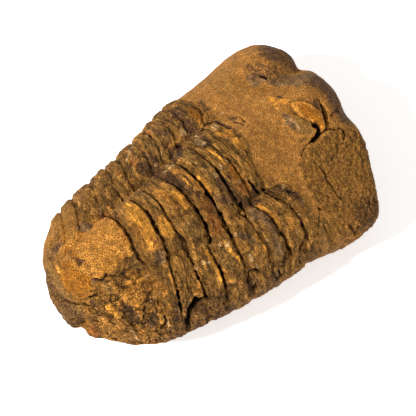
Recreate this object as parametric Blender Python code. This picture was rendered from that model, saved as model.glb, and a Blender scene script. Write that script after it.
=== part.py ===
"""A trilobite fossil: one lump of brown siltstone with the animal's ringed back on top, lying on its belly.

The stone is one solid. Sizes are in millimetres and become metres when the mesh is written. +Y runs from
the tail to the head, +X to the animal's right and +Z up, with the resting spot at Z 0.
"""

import bmesh
import bpy
import numpy as np
from mathutils import Vector, noise

MM = 0.001

# The lump: ends, how blunt they are, and the levels and widths along it
TAIL_Y = -42.4
HEAD_Y = 42.3
TAIL_BLUNTNESS = 2.7
HEAD_BLUNTNESS = 4.6
TAIL_CAP_START = 0.93
HEAD_CAP_START = 0.97
LEFT_SQUARENESS = 2.4
RIGHT_SQUARENESS = 2.05
BELLY_SQUARENESS = 2.4

STATION_Y = np.array([-43.0, -35.0, -27.0, -18.0, -6.0, 8.0, 16.0, 20.0, 31.0, 38.0, 45.0])
LEFT_WIDTH = np.array([23.5, 26.2, 25.2, 23.9, 24.1, 26.8, 26.9, 27.3, 29.3, 29.6, 28.0])
RIGHT_WIDTH = np.array([15.0, 18.0, 21.2, 22.0, 23.6, 24.9, 25.2, 26.9, 29.0, 28.4, 27.0])
WIDEST_Z = np.array([9.0, 10.0, 11.5, 12.5, 13.0, 13.5, 14.0, 14.0, 14.5, 15.0, 15.0])
BACK_Z = np.array([20.5, 23.5, 26.0, 27.0, 28.0, 29.5, 30.5, 31.0, 31.5, 30.5, 29.0])
BELLY_Z = np.array([3.0, 1.5, 0.0, -0.7, -0.9, -0.9, -0.9, -0.8, -0.2, 1.0, 3.0])

# The raised middle lobe of the back, from its two furrows
LOBE_X = np.array([-4.0, -3.6, -3.0, -2.2, -1.4, -2.4, -2.5, -2.4, -2.0, -2.0, -2.0])
LOBE_WIDTH = np.array([5.0, 6.4, 7.6, 8.6, 10.0, 11.2, 11.0, 10.5, 9.5, 9.0, 8.0])
LOBE_RISE = np.array([0.5, 1.6, 2.6, 4.0, 4.6, 4.6, 3.7, 3.0, 1.6, 1.2, 0.6])
LOBE_ROUNDNESS = 0.8
LEFT_FURROW_DEPTH = 0.9
RIGHT_FURROW_DEPTH = 0.4
FURROW_WIDTH = 1.3
FURROW_TAIL_FADE = (-34.0, -24.0)
FURROW_HEAD_FADE = (18.0, 26.0)

# Where one segment ends and the next begins, from the tail to the head: on the lobe's crest, at the left
# edge and on the right flank. The last three are buried towards the head, the first three are the tail shield
CREST_Y = np.array([-35.5, -31.5, -27.0, -20.8, -14.5, -10.7, -4.3, -0.8, 4.2, 8.1, 12.6, 17.8])
LEFT_Y = np.array([-30.3, -26.9, -23.2, -17.9, -13.3, -10.1, -4.5, -0.7, 3.5, 6.6, 11.4, 16.2])
RIGHT_Y = np.array([-35.5, -32.5, -29.0, -24.8, -20.5, -14.5, -8.0, -2.2, 4.3, 8.5, 14.2, 19.8])
LEFT_EDGE_X = -26.0
RIGHT_FLANK_X = 18.0
LEFT_RING_ARCH = 2.0
RIGHT_RING_ARCH = 1.5
ARCH_NUMBERS = (-1.0, 0.0, 10.5, 12.0)
ARCH_SHARES = (0.0, 1.0, 1.0, 0.0)
LEFT_RIB_ARCH = 1.2
RIGHT_RIB_ARCH = 0.4
RIB_SWEEP = 0.35

# How far each segment stands proud: on the middle lobe, on the left ribs and on the right ribs
RING_RELIEF = np.array([0.1, 0.2, 0.5, 1.0, 1.1, 1.2, 1.3, 1.2, 1.0, 0.9, 0.5])
LEFT_RELIEF = np.array([0.5, 0.6, 0.7, 0.7, 0.7, 0.8, 0.8, 0.8, 0.7, 0.7, 0.3])
RIGHT_RELIEF = np.array([0.1, 0.2, 0.4, 0.7, 0.9, 1.0, 1.0, 1.1, 1.1, 1.1, 0.9])
RIB_ROWS = (0.0, 0.25, 0.6, 0.86)
RIB_RISE = 0.35
RIB_DROP = 0.84
RING_TO_RIB = (0.9, 1.15)
LEFT_RIB_FOOT_Z = 6.0
RIGHT_RIB_FOOT_Z = 8.5
RIB_FADE = 6.0

# Swells and hollows of the head and tail: place, reach across and along, height
SWELLS = (
    ("brow over the middle of the head", (-4.5, 35.5), (6.5, 4.5), 1.8),
    ("front of the head, right of the brow", (3.5, 41.0), (4.0, 3.0), -1.3),
    ("left cheek", (-19.0, 33.0), (6.0, 4.5), 1.5),
    ("lens in the middle of the head", (0.6, 32.0), (4.4, 2.0), 1.0),
    ("dip at the neck", (-4.0, 21.5), (12.0, 3.0), -0.7),
    ("step back beside the tail knob", (7.5, -39.5), (3.4, 3.5), -2.3),
    ("notch beside the tail knob", (4.2, -42.5), (1.7, 3.0), -1.8),
    ("worn right of the tail shield", (7.0, -29.0), (6.0, 6.5), -0.8),
)

# Grooves and cracks: how wide, how deep, and the path over the back
GROOVES = (
    ("valley round the left cheek", 2.3, 1.5,
     ((-15.0, 42.0, 16.0), (-12.7, 38.5, 25.0), (-11.0, 33.5, 29.0), (-12.5, 28.0, 29.5),
      (-16.5, 25.5, 28.0))),
    ("crescent before the lens", 0.9, 1.4,
     ((-2.3, 34.7, 31.9), (1.1, 35.0, 30.9), (4.8, 33.0, 29.9))),
    ("crevice behind the lens", 1.0, 1.4,
     ((-1.0, 28.7, 32.7), (3.0, 30.3, 31.0), (6.0, 28.6, 30.0))),
    ("edge of the slab", 0.9, 0.7,
     ((7.7, 23.3, 30.2), (6.3, 28.0, 30.1), (6.1, 33.2, 29.0), (4.1, 38.3, 28.3))),
    ("split in the right flank", 1.2, 1.8,
     ((16.5, -13.6, 20.5), (18.6, -16.5, 19.0), (19.6, -18.2, 16.0), (19.8, -20.4, 10.0))),
    ("seam under the tail shield", 1.1, 0.9,
     ((-15.0, -38.5, 9.0), (-9.0, -41.0, 11.5), (-3.4, -40.7, 14.5), (1.4, -37.0, 18.5))),
)

# Broken faces of the stone: a point on each, the way it faces, and how soft its edge is
BREAKS = (
    ("slab over the right cheek", (6.3, 28.0, 30.5), (0.50, 0.22, 0.84), 0.7),
    ("front right corner", (16.5, 38.0, 20.0), (0.44, 0.88, 0.12), 1.0),
    ("chipped corner of the tail", (12.4, -37.0, 10.0), (0.62, -0.78, 0.1), 0.9),
)

# How far up the sides the swells reach down, and where the bare stone below begins, as shares of its height
SWELL_FOOT = (-0.8, -0.25)
BARE_STONE = (0.25, -0.35)
WEATHER_SIZE = 11.0
WEATHER_DEPTH = 0.9

# Faces across, down the sides, before the first segment and behind the last one
COLUMNS = 24
SIDE_ROWS = 11
TAIL_ROWS = 4
HEAD_ROWS = 14

STONE_COLOUR = (0.245, 0.115, 0.033, 1.0)
STONE_ROUGHNESS = 0.88
NODE_NAME = "trilobite_fossil"


def along_curve(y, stations, values):
    """A smooth curve through the values, read at y."""
    slopes = np.gradient(values, stations)
    i = np.clip(np.searchsorted(stations, y) - 1, 0, len(stations) - 2)
    width = stations[i + 1] - stations[i]
    t = np.clip((y - stations[i]) / width, 0.0, 1.0)
    start = (1 + 2 * t) * (1 - t) ** 2 * values[i] + t * (1 - t) ** 2 * width * slopes[i]
    end = t * t * (3 - 2 * t) * values[i + 1] + t * t * (t - 1) * width * slopes[i + 1]
    return start + end


def step(low, high, x):
    """0 below low, 1 above high, smooth between."""
    t = np.clip((x - low) / (high - low), 0.0, 1.0)
    return t * t * (3 - 2 * t)


def along_share(y):
    """How far along the lump y lies: -1 at the tail, 1 at the head."""
    return (y - (HEAD_Y + TAIL_Y) / 2) / ((HEAD_Y - TAIL_Y) / 2)


def y_of_share(share):
    return (HEAD_Y + TAIL_Y) / 2 + share * (HEAD_Y - TAIL_Y) / 2


def end_scale(share):
    """The size of the cross-section at this share of the length, 1 in the middle and 0 at the ends."""
    power = np.where(share < 0, TAIL_BLUNTNESS, HEAD_BLUNTNESS)
    return np.clip(1 - np.abs(share) ** power, 0.0, 1.0) ** (1 / power)


def segment_line(x, y_mid, number):
    """Where the line that crosses the lobe's crest at y_mid lies at x. number is its segment number."""
    left = np.interp(number, SEGMENT_NUMBERS, LEFT_ENDS)
    right = np.interp(number, SEGMENT_NUMBERS, RIGHT_ENDS)
    bend = np.interp(number, ARCH_NUMBERS, ARCH_SHARES)
    centre = along_curve(y_mid, STATION_Y, LOBE_X)
    half = along_curve(y_mid, STATION_Y, LOBE_WIDTH)
    across = (x - centre) / half
    arch = np.where(across < 0, LEFT_RING_ARCH, RIGHT_RING_ARCH)
    on_lobe = y_mid - arch * bend * np.clip(np.abs(across), 0, 1) ** 2
    left_share = np.clip((centre - half - x) / (centre - half - LEFT_EDGE_X), 0.0, 1.0)
    right_share = np.clip((x - centre - half) / (RIGHT_FLANK_X - centre - half), 0.0, 1.0)
    on_left = on_lobe + (left - on_lobe) * left_share + LEFT_RIB_ARCH * bend * np.sin(np.pi * left_share)
    on_right = on_lobe + (right - on_lobe) * right_share + RIGHT_RIB_ARCH * bend * np.sin(np.pi * right_share)
    on_right -= RIB_SWEEP * bend * np.clip(x - RIGHT_FLANK_X, 0, None)
    return np.where(across < -1, on_left, np.where(across > 1, on_right, on_lobe))


SIDE_TAIL_Y = y_of_share(-TAIL_CAP_START)
SIDE_HEAD_Y = y_of_share(HEAD_CAP_START)
SEGMENT_NUMBERS = np.arange(-1, len(CREST_Y) + 1, dtype=float)
CREST_ENDS = np.concatenate([[SIDE_TAIL_Y], CREST_Y, [SIDE_HEAD_Y]])
LEFT_ENDS = np.concatenate([[SIDE_TAIL_Y], LEFT_Y, [SIDE_HEAD_Y]])
RIGHT_ENDS = np.concatenate([[SIDE_TAIL_Y], RIGHT_Y, [SIDE_HEAD_Y]])


def row_stations():
    """The segment number of each row of the grid: close rows at the ribs, even ones at the two ends."""
    tail = np.linspace(-1, 0, TAIL_ROWS, endpoint=False)
    ribs = [number + part for number in range(len(CREST_Y) - 1) for part in RIB_ROWS]
    head = np.linspace(len(CREST_Y) - 1, len(CREST_Y), HEAD_ROWS + 1)
    return np.concatenate([tail, ribs, head])


def block_grid(columns, rows, side_rows):
    """A cube from -1 to 1 on each axis, cut into that many faces across, along and up."""
    bm = bmesh.new()
    bmesh.ops.create_cube(bm, size=2)
    for axis, count in ((0, columns), (1, rows), (2, side_rows)):
        edges = [e for e in bm.edges if abs((e.verts[0].co - e.verts[1].co)[axis]) > 1e-6]
        bmesh.ops.subdivide_edges(bm, edges=edges, cuts=count - 1, use_grid_fill=True)
    return bm


def section_direction(across, up):
    """Points on the outline of a unit cross-section, squarer or rounder above and below."""
    back = np.where(across < 0, LEFT_SQUARENESS, RIGHT_SQUARENESS)
    power = np.where(up > 0, back, BELLY_SQUARENESS)
    size = (np.abs(across) ** power + np.abs(up) ** power) ** (1 / power)
    return across / size, up / size, power


def plain_lump(cube):
    """The lump with no features: points, outward normals, segment numbers and how far up each one faces."""
    stations = row_stations()
    edge = np.max(np.abs(cube[:, [0, 2]]), axis=1)
    centre = edge < 1e-6
    across = np.where(centre, 0.0, cube[:, 0] / np.where(centre, 1, edge))
    up = np.where(centre, 1.0, cube[:, 2] / np.where(centre, 1, edge))
    dir_x, dir_z, power = section_direction(across, up)
    number = np.interp(cube[:, 1], np.linspace(-1, 1, len(stations)), stations)
    on_cap = np.abs(cube[:, 1]) > 1 - 1e-6
    cap_share = np.where(cube[:, 1] < 0, -TAIL_CAP_START, HEAD_CAP_START)
    cap_scale = end_scale(cap_share) * np.where(on_cap, edge, 1.0)
    end_power = np.where(cube[:, 1] < 0, TAIL_BLUNTNESS, HEAD_BLUNTNESS)
    cap_y = y_of_share(np.sign(cube[:, 1]) * (1 - cap_scale**end_power) ** (1 / end_power))
    mid_y = np.interp(number, SEGMENT_NUMBERS, CREST_ENDS)
    y = np.where(on_cap, cap_y, mid_y)
    for _ in range(3):
        scale = np.where(on_cap, cap_scale, end_scale(along_share(y)))
        left = along_curve(y, STATION_Y, LEFT_WIDTH)
        right = along_curve(y, STATION_Y, RIGHT_WIDTH)
        width = np.where(dir_x < 0, left, right)
        x = dir_x * width * scale
        y = np.where(on_cap, cap_y, segment_line(x, mid_y, number))
    level = along_curve(y, STATION_Y, WIDEST_Z)
    height = np.where(
        dir_z > 0,
        along_curve(y, STATION_Y, BACK_Z) - level,
        level - along_curve(y, STATION_Y, BELLY_Z),
    )
    z = level + dir_z * height * scale
    normal_x = scale ** (end_power - 1) * np.abs(dir_x) ** (power - 1) * np.sign(dir_x) / width
    normal_z = scale ** (end_power - 1) * np.abs(dir_z) ** (power - 1) * np.sign(dir_z) / height
    share = along_share(y)
    normal_y = np.abs(share) ** (end_power - 1) * np.sign(share) / ((HEAD_Y - TAIL_Y) / 2)
    normals = np.stack([normal_x, normal_y, normal_z], axis=1)
    normals /= np.linalg.norm(normals, axis=1)[:, None]
    return np.stack([x, y, z], axis=1), normals, number, dir_z


def rib_profile(part):
    """Height of a segment, 0 to 1, from its tail edge to its head edge: a slow rise and a quick drop."""
    return step(0.0, RIB_RISE, part) * (1 - step(RIB_DROP, 1.0, part))


def middle_lobe(points, dir_z):
    """The raised lobe down the middle of the back, and the furrow on each side of it."""
    x, y = points[:, 0], points[:, 1]
    across = (x - along_curve(y, STATION_Y, LOBE_X)) / along_curve(y, STATION_Y, LOBE_WIDTH)
    rise = along_curve(y, STATION_Y, LOBE_RISE) * end_scale(along_share(y))
    lobe = rise * np.clip(1 - across**2, 0, 1) ** LOBE_ROUNDNESS
    from_furrow = (np.abs(across) - 1) * along_curve(y, STATION_Y, LOBE_WIDTH)
    fade = step(*FURROW_TAIL_FADE, y) * (1 - step(*FURROW_HEAD_FADE, y))
    depth = np.where(across < 0, LEFT_FURROW_DEPTH, RIGHT_FURROW_DEPTH)
    furrow = depth * fade * np.exp(-((from_furrow / FURROW_WIDTH) ** 2))
    return np.where(dir_z > 0, lobe - furrow, 0.0)


def segments(points, number):
    """The rings across the middle lobe and the ribs on both sides of it."""
    x, y, z = points.T
    whole = np.floor(number)
    inside = (whole >= 0) & (whole < len(RING_RELIEF))
    index = np.clip(whole, 0, len(RING_RELIEF) - 1).astype(int)
    centre = along_curve(y, STATION_Y, LOBE_X)
    across = (x - centre) / along_curve(y, STATION_Y, LOBE_WIDTH)
    to_left = step(*RING_TO_RIB, -across)
    to_right = step(*RING_TO_RIB, across)
    ring = RING_RELIEF[index] * (1 - to_left - to_right)
    relief = ring + LEFT_RELIEF[index] * to_left + RIGHT_RELIEF[index] * to_right
    foot = np.where(x < 0, LEFT_RIB_FOOT_Z, RIGHT_RIB_FOOT_Z)
    down_side = step(0.0, 1.0, (z - foot) / RIB_FADE)
    return np.where(inside, relief * rib_profile(number - whole) * down_side, 0.0)


def swells(points, dir_z):
    """The swells and hollows of the head and tail."""
    height = np.zeros(len(points))
    for _, (x, y), (reach_x, reach_y), size in SWELLS:
        away = ((points[:, 0] - x) / reach_x) ** 2 + ((points[:, 1] - y) / reach_y) ** 2
        height += size * np.exp(-away)
    return height * step(*SWELL_FOOT, dir_z)


def distance_to_path(points, path):
    """The distance from each point to a path of straight runs."""
    nearest = np.full(len(points), np.inf)
    for start, end in zip(np.array(path[:-1]), np.array(path[1:])):
        run = end - start
        share = np.clip((points - start) @ run / (run @ run), 0, 1)
        away = np.linalg.norm(points - start - share[:, None] * run, axis=1)
        nearest = np.minimum(nearest, away)
    return nearest


def grooves(points):
    height = np.zeros(len(points))
    for _, width, depth, path in GROOVES:
        height -= depth * np.exp(-((distance_to_path(points, path) / width) ** 2))
    return height


def weathering(points, dir_z):
    """Slow lumps in the bare stone of the sides and belly."""
    bare = step(*BARE_STONE, dir_z)
    lumps = np.array([noise.noise(Vector(p) / WEATHER_SIZE) for p in points])
    return WEATHER_DEPTH * bare * lumps


def break_faces(points):
    """Presses what stands beyond each broken face back onto it, with a soft edge."""
    for _, point, facing, softness in BREAKS:
        facing = np.array(facing) / np.linalg.norm(facing)
        beyond = (points - np.array(point)) @ facing
        pressed = softness * np.logaddexp(0.0, beyond / softness)
        points = points - np.outer(pressed, facing)
    return points


def fossil_points(cube):
    points, normals, number, dir_z = plain_lump(cube)
    height = middle_lobe(points, dir_z) + segments(points, number) + swells(points, dir_z)
    height += weathering(points, dir_z)
    points = points + normals * height[:, None]
    points = points + normals * grooves(points)[:, None]
    return break_faces(points)


def cut_resting_spot(bm):
    """Cuts the belly off flat at Z 0 and closes it with one face."""
    cut = bmesh.ops.bisect_plane(
        bm, geom=bm.verts[:] + bm.edges[:] + bm.faces[:], dist=1e-7,
        plane_co=(0, 0, 0), plane_no=(0, 0, 1), clear_inner=True,
    )
    rim = [g for g in cut["geom_cut"] if isinstance(g, bmesh.types.BMEdge)]
    bmesh.ops.edgenet_fill(bm, edges=rim)


def centre_on_resting_spot(bm):
    """Moves the lump so that the middle of its box stands over the origin and its lowest point at Z 0."""
    places = np.array([v.co for v in bm.verts])
    low, high = places.min(axis=0), places.max(axis=0)
    shift = Vector((-(low[0] + high[0]) / 2, -(low[1] + high[1]) / 2, -low[2]))
    bmesh.ops.translate(bm, verts=bm.verts[:], vec=shift)


def stone_material():
    material = bpy.data.materials.new("brown_siltstone")
    material.use_nodes = True
    shader = material.node_tree.nodes["Principled BSDF"]
    shader.inputs["Base Color"].default_value = STONE_COLOUR
    shader.inputs["Roughness"].default_value = STONE_ROUGHNESS
    shader.inputs["Metallic"].default_value = 0.0
    return material


def make_fossil():
    bm = block_grid(COLUMNS, len(row_stations()) - 1, SIDE_ROWS)
    cube = np.array([v.co for v in bm.verts])
    for vert, point in zip(bm.verts, fossil_points(cube) * MM):
        vert.co = point
    cut_resting_spot(bm)
    centre_on_resting_spot(bm)
    bmesh.ops.triangulate(bm, faces=bm.faces[:])
    bmesh.ops.recalc_face_normals(bm, faces=bm.faces[:])
    mesh = bpy.data.meshes.new(NODE_NAME)
    bm.to_mesh(mesh)
    bm.free()
    mesh.shade_smooth()
    mesh.materials.append(stone_material())
    fossil = bpy.data.objects.new(NODE_NAME, mesh)
    bpy.context.scene.collection.objects.link(fossil)
    return fossil


def main():
    for old in list(bpy.data.objects):
        bpy.data.objects.remove(old)
    make_fossil()


main()
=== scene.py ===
import itertools
import math

import bmesh
import bpy
import numpy as np
from mathutils import Matrix, Vector, noise


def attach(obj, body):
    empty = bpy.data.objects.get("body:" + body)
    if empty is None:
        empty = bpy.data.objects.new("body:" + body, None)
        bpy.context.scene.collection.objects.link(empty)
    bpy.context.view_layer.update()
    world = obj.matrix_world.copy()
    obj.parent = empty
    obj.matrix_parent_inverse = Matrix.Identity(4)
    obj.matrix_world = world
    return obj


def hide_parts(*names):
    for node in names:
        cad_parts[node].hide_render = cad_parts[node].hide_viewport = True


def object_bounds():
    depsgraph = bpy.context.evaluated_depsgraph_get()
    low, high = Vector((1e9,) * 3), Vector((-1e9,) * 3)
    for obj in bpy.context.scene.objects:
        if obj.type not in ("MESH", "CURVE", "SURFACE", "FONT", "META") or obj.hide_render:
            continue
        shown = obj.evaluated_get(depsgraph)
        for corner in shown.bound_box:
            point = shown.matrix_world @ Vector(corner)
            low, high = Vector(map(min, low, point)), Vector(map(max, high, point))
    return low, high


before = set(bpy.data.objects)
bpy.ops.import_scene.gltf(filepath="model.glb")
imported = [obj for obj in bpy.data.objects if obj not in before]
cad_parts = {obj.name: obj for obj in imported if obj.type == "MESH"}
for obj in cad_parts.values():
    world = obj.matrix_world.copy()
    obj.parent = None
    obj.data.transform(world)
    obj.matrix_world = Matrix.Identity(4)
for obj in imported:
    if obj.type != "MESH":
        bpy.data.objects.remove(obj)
cadLow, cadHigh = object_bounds()


def boxSize(low, high):  # in millimetres
    return [round(1000 * (b - a), 1) for a, b in zip(low, high)]


print("frame loaded, box in mm:", boxSize(cadLow, cadHigh))

# The camera, at the angle of the photo, in metres and degrees
cameraSet = {
    "azimuth": 52.0,
    "elevation": 70.0,
    "distance": 0.42,
    "lookAt": (0.0, 0.002, 0.017),
    "spanAtTarget": 0.1007,  # width of the picture at the target
    "shiftX": -0.0096,
    "shiftY": -0.0120,
    "sensor": 36.0,
}


def cameraAxes():  # right, up and back
    a, e = math.radians(cameraSet["azimuth"]), math.radians(cameraSet["elevation"])
    back = Vector((math.sin(a) * math.cos(e), -math.cos(a) * math.cos(e), math.sin(e)))
    right = Vector((0, 0, 1)).cross(back).normalized()
    return right, back.cross(right), back


# Lengths below are in millimetres. +Y runs from tail to head, +X to the animal's right, +Z up

tiny = 1e-6  # a difference below this counts as none

# The lump of stone: ends, widths and levels along it
lump = {
    "tailY": -42.4,
    "headY": 42.3,
    "tailBluntness": 2.7,
    "headBluntness": 4.6,
    "tailCapStart": 0.93,
    "headCapStart": 0.97,
    "leftSquareness": 2.4,
    "rightSquareness": 2.05,
    "bellySquareness": 2.4,
    "stationY": np.array([-43.0, -35.0, -27.0, -18.0, -6.0, 8.0, 16.0, 20.0, 31.0, 38.0, 45.0]),
    "leftWidth": np.array([23.5, 26.2, 25.2, 23.9, 24.1, 26.8, 26.9, 27.3, 29.3, 29.6, 28.0]),
    "rightWidth": np.array([15.0, 18.0, 21.2, 22.0, 23.6, 24.9, 25.2, 26.9, 29.0, 28.4, 27.0]),
    "widestZ": np.array([9.0, 10.0, 11.5, 12.5, 13.0, 13.5, 14.0, 14.0, 14.5, 15.0, 15.0]),
    "backZ": np.array([20.5, 23.5, 26.0, 27.0, 28.0, 29.5, 30.5, 31.0, 31.5, 30.5, 29.0]),
    "bellyZ": np.array([3.0, 1.5, 0.0, -0.7, -0.9, -0.9, -0.9, -0.8, -0.2, 1.0, 3.0]),
    "settleRounds": 3,  # rounds in which a point's place across and along agree
    "bareFrom": 0.25,  # how far up the side, as a share of its height, the bare stone starts
    "bareTo": -0.35,
    "lumpSize": 11.0,
    "lumpDepth": 0.9,
    "columns": 46,  # faces across and down the sides before the back is cut finer
    "sideRows": 20,
    "fineCuts": 2,
    "fineDownTo": -0.36,  # the finer faces reach this far down the side
}

# The raised middle lobe of the back and its two furrows
lobe = {
    "x": np.array([-4.0, -3.6, -3.0, -2.2, -1.4, -2.4, -2.5, -2.4, -2.0, -2.0, -2.0]),
    "width": np.array([5.0, 6.4, 7.6, 8.6, 10.0, 11.2, 11.0, 10.5, 9.5, 9.0, 8.0]),
    "rise": np.array([0.5, 1.6, 2.6, 4.0, 4.6, 4.6, 3.7, 3.0, 1.6, 1.2, 0.6]),
    "roundness": 0.8,
    "neckSlope": 0.9,  # how much gentler its sides are towards the head
    "leftFurrow": 0.9,
    "rightFurrow": 0.4,
    "furrowWidth": 1.3,
    "tailFade": (-34.0, -24.0),
    "headFade": (5.0, 15.0),
}

# Where one segment ends and the next begins: on the crest, at the left edge and on the right flank
rings = {
    "crestY": np.array([-35.5, -31.5, -27.0, -20.8, -14.5, -10.7, -4.3, -0.8, 4.2, 8.1, 12.6, 17.8]),
    "leftY": np.array([-30.3, -26.9, -23.2, -17.9, -13.3, -10.1, -4.5, -0.7, 3.5, 6.6, 11.4, 16.2]),
    "rightY": np.array([-35.5, -32.5, -29.0, -24.8, -20.5, -14.5, -8.0, -2.2, 4.3, 8.5, 14.2, 19.8]),
    "leftEdgeX": -26.0,
    "rightFlankX": 18.0,
    "leftArch": 2.0,
    "rightArch": 1.5,
    "archNumbers": (-1.0, 0.0, 10.5, 12.0),
    "archShares": (0.0, 1.0, 1.0, 0.0),
    "leftRibArch": 1.2,
    "rightRibArch": 0.4,
    "ribSweep": 0.35,
    "ringRelief": np.array([0.1, 0.2, 0.5, 0.9, 0.9, 1.0, 1.0, 0.9, 0.7, 0.4, 0.1]),
    "leftRelief": np.array([0.5, 0.6, 0.7, 0.7, 0.7, 0.8, 0.8, 0.8, 0.7, 0.7, 0.3]),
    "rightRelief": np.array([0.1, 0.2, 0.4, 0.6, 0.7, 0.8, 0.8, 0.8, 0.8, 0.9, 0.8]),
    "ribRise": 0.3,
    "ribDrop": 0.87,
    "ringToRib": (0.9, 1.15),
    "leftFootZ": 6.0,
    "rightFootZ": 8.5,
    "footFade": 6.0,
    "rowShares": (0.0, 0.09, 0.24, 0.42, 0.6, 0.76, 0.9),  # rows of faces within one segment
    "tailRows": 8,
    "headRows": 27,
}

# Swells and hollows of the head and tail: place, reach across and along, height
swellMarks = {
    "brow over the middle of the head": ((-4.5, 35.5), (6.5, 4.5), 1.8),
    "front of the head, right of the brow": ((3.5, 41.0), (4.0, 3.0), -1.3),
    "left cheek": ((-19.0, 33.0), (6.0, 4.5), 1.5),
    "lens in the middle of the head": ((0.6, 32.0), (4.4, 2.0), 1.0),
    "knob on the left cheek": ((-17.5, 37.3), (2.0, 1.6), 0.8),
    "end of the valley": ((-12.8, 38.9), (1.6, 2.2), -1.2),
    "dip at the neck": ((-4.0, 21.5), (12.0, 3.0), -0.7),
    "step back beside the tail knob": ((7.5, -39.5), (3.4, 3.5), -2.3),
    "notch beside the tail knob": ((4.2, -42.5), (1.7, 3.0), -1.8),
    "worn right of the tail shield": ((7.0, -29.0), (6.0, 6.5), -0.8),
}
swellFoot = (-0.8, -0.25)  # they fade out here, down the side

# Broken faces: a point on each, the way it faces, how soft its edge is
breakMarks = {
    "slab over the right cheek": ((6.3, 28.0, 30.5), (0.50, 0.22, 0.84), 0.7),
    "front right corner": ((16.5, 38.0, 20.0), (0.44, 0.88, 0.12), 1.0),
    "chipped corner of the tail": ((12.4, -37.0, 10.0), (0.62, -0.78, 0.1), 0.9),
}


def alongCurve(y, values):
    stations = lump["stationY"]
    slopes = np.gradient(values, stations)
    i = np.clip(np.searchsorted(stations, y) - 1, 0, len(stations) - 2)
    width = stations[i + 1] - stations[i]
    t = np.clip((y - stations[i]) / width, 0.0, 1.0)
    start = (1 + 2 * t) * (1 - t) ** 2 * values[i] + t * (1 - t) ** 2 * width * slopes[i]
    end = t * t * (3 - 2 * t) * values[i + 1] + t * t * (t - 1) * width * slopes[i + 1]
    return start + end


def rampUp(low, high, x):  # 0 below low, 1 above high, smooth between
    t = np.clip((x - low) / (high - low), 0.0, 1.0)
    return t * t * (3 - 2 * t)


midY = (lump["headY"] + lump["tailY"]) / 2
halfLength = (lump["headY"] - lump["tailY"]) / 2


def bluntness(share):
    return np.where(share < 0, lump["tailBluntness"], lump["headBluntness"])


def endScale(share):  # size of the cross-section at this share of the length, -1 tail and 1 head
    return np.clip(1 - np.abs(share) ** bluntness(share), 0.0, 1.0) ** (1 / bluntness(share))


def withEnds(values):  # adds where the sides of the stone start and end
    tail, head = lump["tailCapStart"] * halfLength, lump["headCapStart"] * halfLength
    return np.concatenate([[midY - tail], values, [midY + head]])


lineCount = len(rings["crestY"])
lineNumbers = np.arange(-1, lineCount + 1, dtype=float)
crestEnds, leftEnds, rightEnds = (withEnds(rings[name]) for name in ("crestY", "leftY", "rightY"))


def segmentLine(x, crestY, number):  # where the line that crosses the crest at crestY lies at x
    left = np.interp(number, lineNumbers, leftEnds)
    right = np.interp(number, lineNumbers, rightEnds)
    bend = np.interp(number, rings["archNumbers"], rings["archShares"])
    centre = alongCurve(crestY, lobe["x"])
    half = alongCurve(crestY, lobe["width"])
    across = (x - centre) / half
    arch = np.where(across < 0, rings["leftArch"], rings["rightArch"])
    onLobe = crestY - arch * bend * np.clip(np.abs(across), 0, 1) ** 2
    leftShare = np.clip((centre - half - x) / (centre - half - rings["leftEdgeX"]), 0.0, 1.0)
    rightShare = np.clip((x - centre - half) / (rings["rightFlankX"] - centre - half), 0.0, 1.0)
    onLeft = onLobe + (left - onLobe) * leftShare
    onLeft += rings["leftRibArch"] * bend * np.sin(np.pi * leftShare)
    onRight = onLobe + (right - onLobe) * rightShare
    onRight += rings["rightRibArch"] * bend * np.sin(np.pi * rightShare)
    onRight -= rings["ribSweep"] * bend * np.clip(x - rings["rightFlankX"], 0, None)
    return np.where(across < -1, onLeft, np.where(across > 1, onRight, onLobe))


def rowNumbers():  # the segment number of each row of faces
    tail = np.linspace(-1, 0, rings["tailRows"], endpoint=False)
    ribs = [number + share for number in range(lineCount - 1) for share in rings["rowShares"]]
    head = np.linspace(lineCount - 1, lineCount, rings["headRows"] + 1)
    return np.concatenate([tail, ribs, head])


def blockGrid():
    bm = bmesh.new()
    bmesh.ops.create_cube(bm, size=2)
    for axis, count in enumerate((lump["columns"], len(rowNumbers()) - 1, lump["sideRows"])):
        edges = [e for e in bm.edges if abs((e.verts[0].co - e.verts[1].co)[axis]) > tiny]
        bmesh.ops.subdivide_edges(bm, edges=edges, cuts=count - 1, use_grid_fill=True)
    fine = {e for f in bm.faces if f.calc_center_median().z > lump["fineDownTo"] for e in f.edges}
    bmesh.ops.subdivide_edges(bm, edges=list(fine), cuts=lump["fineCuts"], use_grid_fill=True)
    return bm


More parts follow.
